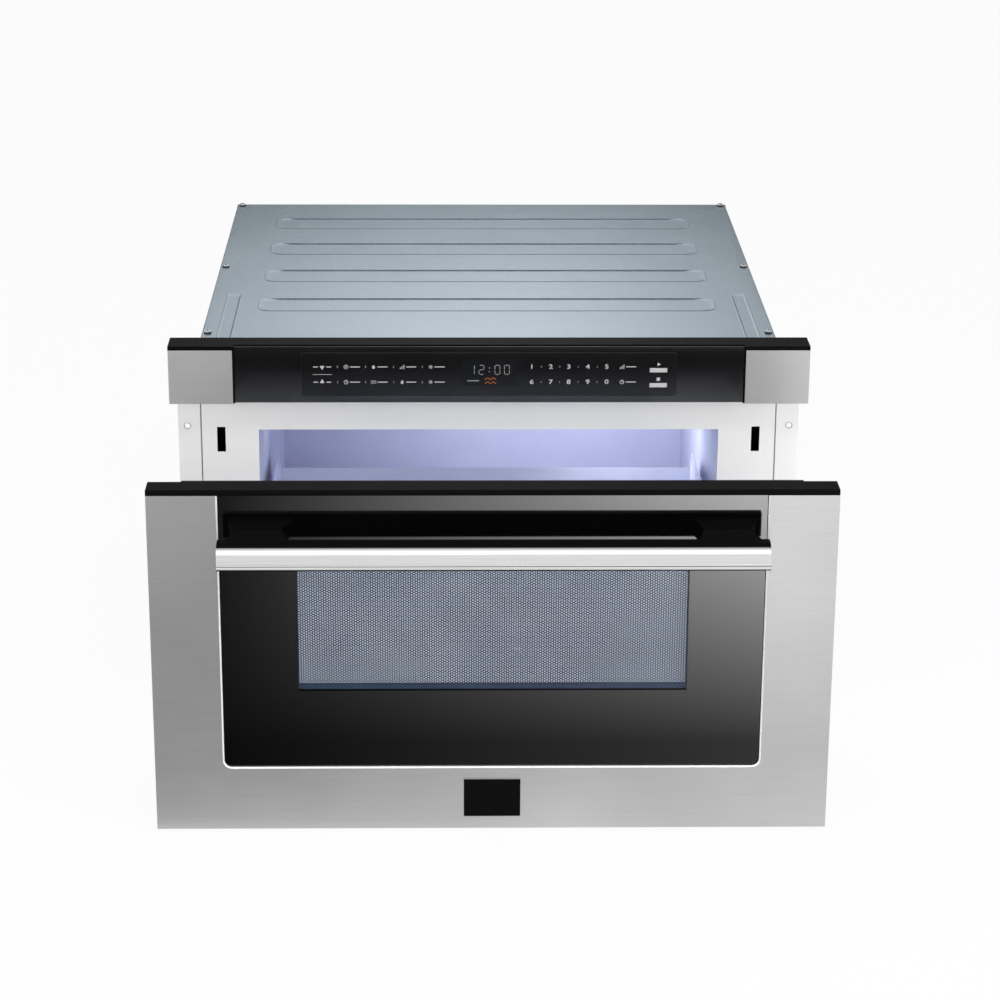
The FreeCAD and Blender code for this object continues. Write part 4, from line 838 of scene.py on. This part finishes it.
brushed = brushed_finish()
soften(
    "panel_housing", "control_housing", "cabinet", black_plastic, edge=0.0008,
    segments=3,
)
for side in ("left", "right"):
    soften(
        f"panel_cap_{side}", f"end_cap_{side}", "cabinet", brushed, edge=0.0006,
        segments=3,
    )
# The panel's glass has black print under an etched face with a soft gloss. A dark conductive film
# lies behind it.
# A gentle contrast spreads both colours over the whole pattern.
GENTLE = (0, 1)
satin_glass = mottled(
    "satin_glass", 9, (0.015, 0.015, 0.02), (0.03, 0.03, 0.035), (0.11, 0.04), contrast=GENTLE, IOR=2.1)
soften("panel_glass", "control_glass", "cabinet", satin_glass, edge=0.0002)
touch_film = mottled(
    "touch_film", 300, (0.1, 0.1, 0.11), (0.14, 0.14, 0.15), (0.45, 0.1), contrast=GENTLE)
dress(touch_film, "touch_panel", "display_module")

glass_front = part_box("control_glass")[0].y
touch_low, touch_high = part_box("touch_panel")
TOUCH_RISE = 0.0003
TOUCH_CORNER = 0.003


def front_plate(name, low, high, corner, edge):
    """Shape a thin upright plate that faces the front, with rounded corners and edges."""
    plate = add_block(low, high, name)
    enter("EDIT")
    select_edges(plate, lambda a, b: abs(a.y - b.y) > TOLERANCE)
    bpy.ops.mesh.bevel(offset=corner, segments=6, affect="EDGES")
    select_edges(plate, lambda a, b: max(a.y, b.y) < low[1] + TOLERANCE)
    bpy.ops.mesh.bevel(offset=edge, segments=2, affect="EDGES")
    enter("OBJECT")
    smooth(plate, angle=30)
    return plate


field = front_plate(
    "touch_field", (touch_low.x, glass_front - TOUCH_RISE, touch_low.z),
    (touch_high.x, glass_front + TOUCH_RISE, touch_high.z), TOUCH_CORNER, TOUCH_RISE * 0.8,
)
touch_glass = mottled(
    "touch_glass", 14, (0.035, 0.035, 0.04), (0.055, 0.055, 0.06), (0.12, 0.06), contrast=GENTLE,
    IOR=1.7,
)
dress(touch_glass, field)
register(field, "cabinet")

PRINT_DEPTH = 0.00006
print_front = glass_front - TOUCH_RISE - PRINT_DEPTH
ROW_GAP = 0.0075
PANEL_MIDDLE = (touch_low.z + touch_high.z) / 2
UPPER_ROW = PANEL_MIDDLE + ROW_GAP
LOWER_ROW = PANEL_MIDDLE - ROW_GAP


def print_bar(x, z, width, height, lean=0.0):
    """Print a straight bar, with its lean in degrees."""
    reach = Vector((width / 2, PRINT_DEPTH / 2, height / 2))
    middle = Vector((x, print_front + PRINT_DEPTH / 2, z))
    bar = add_block(-reach, reach)
    bar.rotation_euler.y = math.radians(lean)
    bar.location = middle
    return bar


def print_disc(x, z, radius, corners, turn=0.0):
    """Print a filled round or cornered mark."""
    bpy.ops.mesh.primitive_cylinder_add(
        vertices=corners, radius=radius, depth=PRINT_DEPTH,
        location=(x, print_front + PRINT_DEPTH / 2, z),
        rotation=(math.pi / 2, math.radians(turn), 0))
    return bpy.context.object


def print_ring(x, z, radius, line):
    """Print a thin ring."""
    ring = print_disc(x, z, radius, 24)
    enter("EDIT")
    select_faces(ring, lambda face: len(face.vertices) > 4)
    bpy.ops.mesh.inset(thickness=line)
    bpy.ops.mesh.bridge_edge_loops()
    enter("OBJECT")
    return ring


def print_digit(character, x, z, height):
    """Print one digit in wide plain type."""
    bpy.ops.object.text_add(rotation=(math.pi / 2, 0, 0))
    digit = bpy.context.object
    digit.data.body = character
    digit.data.align_x = "CENTER"
    digit.data.align_y = "CENTER"
    digit.data.size = height * 1.4
    digit.data.extrude = PRINT_DEPTH / 2
    digit.data.resolution_u = 4
    digit.data.offset = height * 0.02
    digit.scale.x = 1.3
    digit.location = (x, print_front + PRINT_DEPTH / 2, z)
    bpy.ops.object.convert(target="MESH")
    return bpy.context.object


SYMBOL = 0.0021
LINE = 0.0005
THIN_LINE = LINE * 0.7
THICK_LINE = LINE * 1.7


def clock_symbol(x, z):
    """A ring with two hands."""
    return [
        print_ring(x, z, SYMBOL, LINE), print_bar(x, z + SYMBOL * 0.3, LINE, SYMBOL * 0.8),
        print_bar(x + SYMBOL * 0.25, z, SYMBOL * 0.6, LINE),
    ]


def flake_symbol(x, z):
    """Three crossed bars."""
    return [print_bar(x, z, SYMBOL * 2, LINE, lean) for lean in (0, 60, 120)]


def wave_symbol(x, z, size=SYMBOL):
    """Two rows of heat waves."""
    bars = []
    for row in (-1, 1):
        for step in range(4):
            bars.append(print_bar(
                x + (step - 1.5) * size * 0.6, z + row * size * 0.45, size * 0.8, LINE,
                38 if step % 2 else -38,
            ))
    return bars


def level_symbol(x, z):
    """Three bars that rise like steps."""
    return [
        print_bar(x + (step - 1) * SYMBOL * 0.8, z - SYMBOL * (0.6 - step * 0.3), LINE * 1.4,
                  SYMBOL * (0.8 + step * 0.6))
        for step in range(3)
    ]


def ring_symbol(x, z):
    """A ring with a dot in it."""
    return [print_ring(x, z, SYMBOL, LINE), print_disc(x, z, SYMBOL * 0.35, 12)]


def drop_symbol(x, z):
    """A drop."""
    return [
        print_disc(x, z - SYMBOL * 0.2, SYMBOL * 0.7, 16),
        print_disc(x, z + SYMBOL * 0.45, SYMBOL * 0.6, 3, 180),
    ]


SYMBOL_COLUMNS = (
    (-0.130, ring_symbol, clock_symbol), (-0.104, drop_symbol, wave_symbol),
    (-0.077, level_symbol, drop_symbol), (-0.050, flake_symbol, flake_symbol),
    (0.131, level_symbol, clock_symbol),
)
SYMBOL_SHIFT = 0.0055
LEGEND_SHIFT = 0.0030
LEGEND_WIDTH = 0.0095
DIVIDERS = (-0.1435, -0.117, -0.0905, -0.0635)
prints = []
for x, upper, lower in SYMBOL_COLUMNS:
    for symbol, z in ((upper, UPPER_ROW), (lower, LOWER_ROW)):
        prints.extend(symbol(x - SYMBOL_SHIFT, z))
        prints.append(print_bar(x + LEGEND_SHIFT, z, LEGEND_WIDTH, THICK_LINE))
for x in DIVIDERS:
    for z in (UPPER_ROW, LOWER_ROW):
        prints.append(print_bar(x, z, THIN_LINE, SYMBOL))
OPEN_COLUMN = -0.158
OPEN_RULE = 0.018
OPEN_LEGEND_SHIFT = 0.0062
OPEN_LEGEND_WIDTH = 0.0045
prints.append(print_disc(OPEN_COLUMN, UPPER_ROW - SYMBOL * 0.2, SYMBOL * 1.25, 3, 180))
prints.append(print_disc(OPEN_COLUMN, LOWER_ROW + SYMBOL * 0.2, SYMBOL * 1.25, 3))
prints.append(print_bar(OPEN_COLUMN, PANEL_MIDDLE, OPEN_RULE, THIN_LINE))
for z in (UPPER_ROW, LOWER_ROW):
    for side in (-1, 1):
        x = OPEN_COLUMN + side * OPEN_LEGEND_SHIFT
        prints.append(print_bar(x, z, OPEN_LEGEND_WIDTH, THICK_LINE))
DIGIT_COLUMNS = (0.040, 0.058, 0.075, 0.093, 0.111)
DIGIT_HEIGHT = 0.0043
for digits, z in (("12345", UPPER_ROW), ("67890", LOWER_ROW)):
    for character, x in zip(digits, DIGIT_COLUMNS):
        prints.append(print_digit(character, x, z, DIGIT_HEIGHT))
for first, second in zip(DIGIT_COLUMNS, DIGIT_COLUMNS[1:]):
    for z in (UPPER_ROW, LOWER_ROW):
        prints.append(print_bar((first + second) / 2, z, THIN_LINE, SYMBOL * 0.7))
START_COLUMN = 0.160
START_RISE = 0.0099
STOP_RISE = -0.0048
FIELD_RISES = (0.0041, -0.0107)
FIELD_SIZE = (0.0165, 0.0042)
for rise in FIELD_RISES:
    prints.append(print_bar(START_COLUMN, PANEL_MIDDLE + rise, *FIELD_SIZE))
prints.append(print_disc(START_COLUMN, PANEL_MIDDLE + START_RISE, SYMBOL, 3, 90))
prints.append(print_bar(START_COLUMN, PANEL_MIDDLE + STOP_RISE, SYMBOL * 1.5, SYMBOL * 1.5))
legends = join_pieces("panel_prints", prints)


def print_finish(name, shade):
    """Screen print: an even ink with a faint speckle."""
    dark = [part * 0.88 for part in shade]
    return mottled(name, 2500, dark, shade, (0.5, 0.1), contrast=GENTLE)


dress(print_finish("white_print", (0.72, 0.72, 0.72)), legends)
register(legends, "cabinet")


# ---- Display ---------------------------------------------------------------------------------
# A dark window in the touch field shows four segment digits, and a heat sign below them.

DISPLAY_SIZE = (0.050, 0.024)
DISPLAY_MIDDLE = PANEL_MIDDLE + 0.001
window = front_plate(
    "display_window",
    (-DISPLAY_SIZE[0] / 2, print_front, DISPLAY_MIDDLE - DISPLAY_SIZE[1] / 2),
    (DISPLAY_SIZE[0] / 2, print_front + TOUCH_RISE, DISPLAY_MIDDLE + DISPLAY_SIZE[1] / 2),
    corner=0.0008, edge=0.00003,
)
display_glass = mottled(
    "display_glass", 60, (0.06, 0.065, 0.07), (0.085, 0.09, 0.095), (0.12, 0.05), contrast=GENTLE)
dress(display_glass, window)
register(window, "cabinet")

# The display's signs lie on its window, one print in front of the touch field.
print_front -= PRINT_DEPTH
SEGMENTS = {"0": "abcdef", "1": "bc", "2": "abged"}
SEGMENT_WIDTH = 0.0046
SEGMENT_HEIGHT = 0.0090
SEGMENT_LINE = 0.0007
half_wide, half_tall = SEGMENT_WIDTH / 2, SEGMENT_HEIGHT / 2
SEGMENT_PLACES = {
    "a": (0, half_tall, True), "g": (0, 0, True), "d": (0, -half_tall, True),
    "b": (half_wide, half_tall / 2, False), "c": (half_wide, -half_tall / 2, False),
    "e": (-half_wide, -half_tall / 2, False), "f": (-half_wide, half_tall / 2, False),
}
READING_HEIGHT = PANEL_MIDDLE + 0.0046
READING_COLUMNS = (-0.0165, -0.0075, 0.0075, 0.0165)
COLON_RISE = 0.0018
COLON_DOT = 0.0006
LOWER_LINE = PANEL_MIDDLE - 0.0062
reading = []
for character, x in zip("1200", READING_COLUMNS):
    for segment in SEGMENTS[character]:
        across, up, flat = SEGMENT_PLACES[segment]
        size = (SEGMENT_WIDTH * 0.72, SEGMENT_LINE) if flat else (SEGMENT_LINE, half_tall * 0.8)
        reading.append(print_bar(x + across, READING_HEIGHT + up, *size))
for side in (-1, 1):
    reading.append(print_disc(0, READING_HEIGHT + side * COLON_RISE, COLON_DOT, 12))
reading.append(print_bar(-0.0155, LOWER_LINE, 0.0110, 0.0011))
digits = join_pieces("display_digits", reading)
dress(print_finish("lit_grey", (0.50, 0.50, 0.50)), digits)
register(digits, "cabinet")

HEAT_SIZE = SYMBOL * 2.1
heat = join_pieces("heat_sign", wave_symbol(0.001, PANEL_MIDDLE - 0.0061, HEAT_SIZE))
dress(print_finish("lit_orange", (0.72, 0.38, 0.14)), heat)
register(heat, "cabinet")


# ---- Drawer front ----------------------------------------------------------------------------
# A brushed stainless frame folded round a dark glass, under a black plastic cap. The edge of the
# opening is cut on a slope, and its glint is a painted highlight in a near-white colour.

frame_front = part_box("door_frame")[0].y
door_low, door_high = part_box("door_glass")
OPENING_BEVEL = 0.0013
GLASS_GAP = 0.0004
# The slope round the opening gets a near-white, barely metallic colour: a painted highlight.
painted_highlight_edge = mottled(
    "painted_highlight_edge", 200, (0.91, 0.91, 0.91), (0.96, 0.96, 0.96), (0.22, 0.08), contrast=GENTLE,
    Metallic=0.2,
)


def opening_edge(a, b):
    """Pick the front edges of the glass opening."""
    front = max(a.y, b.y) < frame_front + TOLERANCE
    inside = max(abs(a.x), abs(b.x)) < door_high.x + GLASS_GAP + TOLERANCE
    return front and inside and min(a.z, b.z) > door_low.z - GLASS_GAP - TOLERANCE


skin = copy_part("drawer_frame", "door_frame")
select_edges(skin, opening_edge)
bpy.ops.mesh.bevel(offset=OPENING_BEVEL, segments=1, affect="EDGES")
enter("OBJECT")
skin.data.materials.append(brushed)
skin.data.materials.append(painted_highlight_edge)
# The slanted faces round the glass take the painted highlight.
for face in skin.data.polygons:
    slanted = -0.9 < face.normal.y < -0.3
    near_glass = abs(face.center.x) < door_high.x + 0.003 and face.center.z > door_low.z - 0.003
    face.material_index = 1 if slanted and near_glass else 0
round_edges(skin, width=0.0003, angle=50)
smooth(skin, angle=30)
register(skin, "drawer", "door_frame")

soften(
    "drawer_cap", "drawer_top_cap", "drawer", black_plastic, edge=0.0005,
    segments=3,
)

SCREEN_WINDOW = (0.1735, 0.1382, 0.2662)


def door_glass_finish():
    """Glass with black print behind it, left clear but smoky over the window."""
    material, tree, place = new_finish("door_glass_print")
    across = tree.node("SeparateXYZ", {0: place}, output=0)
    up = tree.node("SeparateXYZ", {0: place}, output=2)
    side, floor_line, top_line = SCREEN_WINDOW
    clear = across.between(-side, side, 0.0002) * up.between(floor_line, top_line, 0.0002)
    haze = grain(tree, place, 9, 2)
    base = haze.blend(colour(0.01, 0.01, 0.012), colour(0.02, 0.02, 0.023))
    return finish(
        material, Base_Color=base, Roughness=0.04 + haze * 0.04, IOR=2.1,
        Alpha=1 - clear * 0.86,
    )


soften("window_glass", "door_glass", "drawer", door_glass_finish(), edge=0.0003)


# ---- Screen ----------------------------------------------------------------------------------
# A blue-grey steel sheet with thousands of small holes in staggered rows keeps the waves in and
# lets the light out. A plain border in a paler shade runs round the holes, and a thin milky film
# lies behind them.

HOLE_PITCH = 0.0024
HOLE_RADIUS = 0.00094
COLUMN_PITCH = HOLE_PITCH * math.sqrt(3) / 2
CELL_RADIUS = HOLE_PITCH / math.sqrt(3)
HOLES_FLOOR = 0.1418
SCREEN_SHEET = 0.0002
BORDER_SHEET = 0.0003
BORDER_OVERLAP = 0.0012
screen_low, screen_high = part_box("door_screen")

screen_paint = mottled(
    "screen_paint", 26, (0.13, 0.17, 0.25), (0.19, 0.24, 0.33), (0.5, 0.1), detail=4,
    Specular_IOR_Level=0.1,
)
border_paint = mottled(
    "border_paint", 26, (0.24, 0.30, 0.40), (0.30, 0.36, 0.46), (0.5, 0.1), detail=4,
    Specular_IOR_Level=0.1,
)
rows = int((SCREEN_WINDOW[2] - HOLES_FLOOR) / HOLE_PITCH) + 2
pairs = int(SCREEN_WINDOW[0] / COLUMN_PITCH / 2) + 1
for side, first in (("left", -2 * pairs * COLUMN_PITCH), ("right", 0)):
    start = (first + COLUMN_PITCH / 2, screen_low.y, HOLES_FLOOR + HOLE_PITCH / 2)
    bpy.ops.mesh.primitive_circle_add(vertices=6, radius=CELL_RADIUS, fill_type="NGON")
    enter("EDIT")
    bpy.ops.mesh.inset(thickness=(CELL_RADIUS - HOLE_RADIUS) * math.cos(math.pi / 6))
    bpy.ops.mesh.delete(type="FACE")
    enter("OBJECT")
    holes = bpy.context.object
    holes.name = f"screen_{side}"
    holes.data.name = holes.name
    holes.rotation_euler = (math.pi / 2, math.pi / 6, 0)
    holes.location = start
    bpy.ops.object.transform_apply()
    for count, offset in (
        (2, (COLUMN_PITCH, 0, HOLE_PITCH / 2)), (pairs, (2 * COLUMN_PITCH, 0, 0)),
        (rows, (0, 0, HOLE_PITCH)),
    ):
        use_modifier(
            holes, "ARRAY", count=count, use_relative_offset=False, use_constant_offset=True,
            constant_offset_displace=offset, use_merge_vertices=True, merge_threshold=0.00001,
        )
    use_modifier(holes, "SOLIDIFY", thickness=SCREEN_SHEET, offset=-1)
    dress(screen_paint, holes)
    register(holes, "drawer", "door_screen" if side == "left" else None)

border_parts = []
inner_low = (-SCREEN_WINDOW[0] + BORDER_OVERLAP, HOLES_FLOOR + HOLE_PITCH)
inner_high = (SCREEN_WINDOW[0] - BORDER_OVERLAP, SCREEN_WINDOW[2])
border_front = screen_low.y + SCREEN_SHEET
border_back = border_front + BORDER_SHEET
for low, high in (
    ((screen_low.x, screen_low.z), (screen_high.x, inner_low[1])),
    ((screen_low.x, inner_high[1]), (screen_high.x, screen_high.z)),
    ((screen_low.x, inner_low[1]), (inner_low[0], inner_high[1])),
    ((inner_high[0], inner_low[1]), (screen_high.x, inner_high[1])),
):
    border_parts.append(add_block((low[0], border_front, low[1]), (high[0], border_back, high[1])))
border = join_pieces("screen_border", border_parts)
round_edges(border, width=0.00008, angle=30, segments=1)
dress(border_paint, border)
register(border, "drawer")


def film_finish():
    """Milky film that hides the tray behind the holes and scatters the light that falls on it."""
    material, tree, place = new_finish("screen_film")
    cloud = grain(tree, place, 16, 3)
    base = cloud.steps(0.3, 0.7).blend(colour(0.84, 0.89, 0.96), colour(0.89, 0.94, 1.0))
    return finish(material, Base_Color=base, Roughness=0.5, Alpha=0.9 + cloud * 0.1)


film = add_block(
    (inner_low[0], border_front, inner_low[1]), (inner_high[0], border_back, inner_high[1]),
    "screen_film",
)
round_edges(film, width=0.00004, angle=30, segments=1)
dress(film_finish(), film)
register(film, "drawer")


# ---- Handle ----------------------------------------------------------------------------------
# A solid stainless bar with a rounded front stands on two black brackets. Its top and back are
# painted black, as painted shade and a painted reflection of the dark glass, and a groove runs along
# the front just above a narrow black slope, which is painted shade as well.

FRONT_LEAN = 0.0052
FRONT_ROUND = 0.0090
LOWER_SLOPE = 0.0018
GROOVE_RISE = 0.0040
GROOVE_WIDTH = 0.0015
GROOVE_DEPTH = 0.0015
bar_low, bar_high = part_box("handle_bar")
groove_middle = bar_low.z + GROOVE_RISE + GROOVE_WIDTH / 2


def front_edge(a, b):
    """Pick the edges that lie in the bar's front face."""
    return max(a.y, b.y) < bar_low.y + TOLERANCE


bar = add_block(bar_low, bar_high, "handle")
enter("EDIT")
select_edges(bar, lambda a, b: front_edge(a, b) and min(a.z, b.z) > bar_high.z - TOLERANCE)
bpy.ops.transform.translate(value=(0, FRONT_LEAN, 0))
bpy.ops.mesh.bevel(offset=FRONT_ROUND, segments=14, affect="EDGES")
select_edges(bar, lambda a, b: front_edge(a, b) and max(a.z, b.z) < bar_low.z + TOLERANCE)
bpy.ops.mesh.bevel(offset=LOWER_SLOPE, segments=1, affect="EDGES")
for rise in (GROOVE_RISE, GROOVE_RISE + GROOVE_WIDTH):
    bpy.ops.mesh.select_all(action="SELECT")
    bpy.ops.mesh.bisect(plane_co=(0, 0, bar_low.z + rise), plane_no=(0, 0, 1))
select_faces(bar, lambda face: face.normal.y < -0.9
             and abs(face.center.z - groove_middle) < GROOVE_WIDTH / 4)
bpy.ops.mesh.extrude_region_move(TRANSFORM_OT_translate={"value": (0, GROOVE_DEPTH, 0)})
enter("OBJECT")
round_edges(bar, width=0.0002, angle=40)
smooth(bar, angle=30)

# The bar is drawn along its length to a bright satin. The black takes up nearly all light.
satin_bar = mottled(
    "satin_bar", 2, (0.86, 0.86, 0.86), (0.93, 0.93, 0.93), (0.16, 0.08), detail=3,
    depth=0.000004, stretch=(6, 1400, 1400), Metallic=1,
)
black_and_painted_shade = mottled(
    "black_and_painted_shade", 1400, (0.02, 0.02, 0.022), (0.05, 0.05, 0.052), (0.5, 0.1),
    Specular_IOR_Level=0.03,
)
dress(satin_bar, bar)
bar.data.materials.append(black_and_painted_shade)
# The bar's top, back and lower slope take the black as painted shade and a painted reflection of the
# dark glass. The brackets and the badge are black in their own colour.
for face in bar.data.polygons:
    up, back = face.normal.z, face.normal.y
    face.material_index = 1 if up > 0.8 or up < -0.6 or back > 0.3 else 0
register(bar, "drawer", "handle_bar")

for side in ("left", "right"):
    soften(
        f"bracket_{side}", f"handle_bracket_{side}", "drawer", black_and_painted_shade,
        edge=0.001, segments=3,
    )
dress(bright_zinc, "handle_screws")


# ---- Badge plate -----------------------------------------------------------------------------
# A bare black plate with a thin raised rim is set in the middle of the frame's lower border.

BADGE_RIM = 0.0007
badge = add_block(*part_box("badge_plate"), "border_plate")
enter("EDIT")
select_faces(badge, lambda face: face.normal.y < -0.99)
bpy.ops.mesh.inset(thickness=BADGE_RIM)
bpy.ops.mesh.inset(thickness=0.0002, depth=-0.0002)
enter("OBJECT")
round_edges(badge, width=0.0001, angle=40)
smooth(badge, angle=30)
dress(black_and_painted_shade, badge)
register(badge, "drawer", "badge_plate")
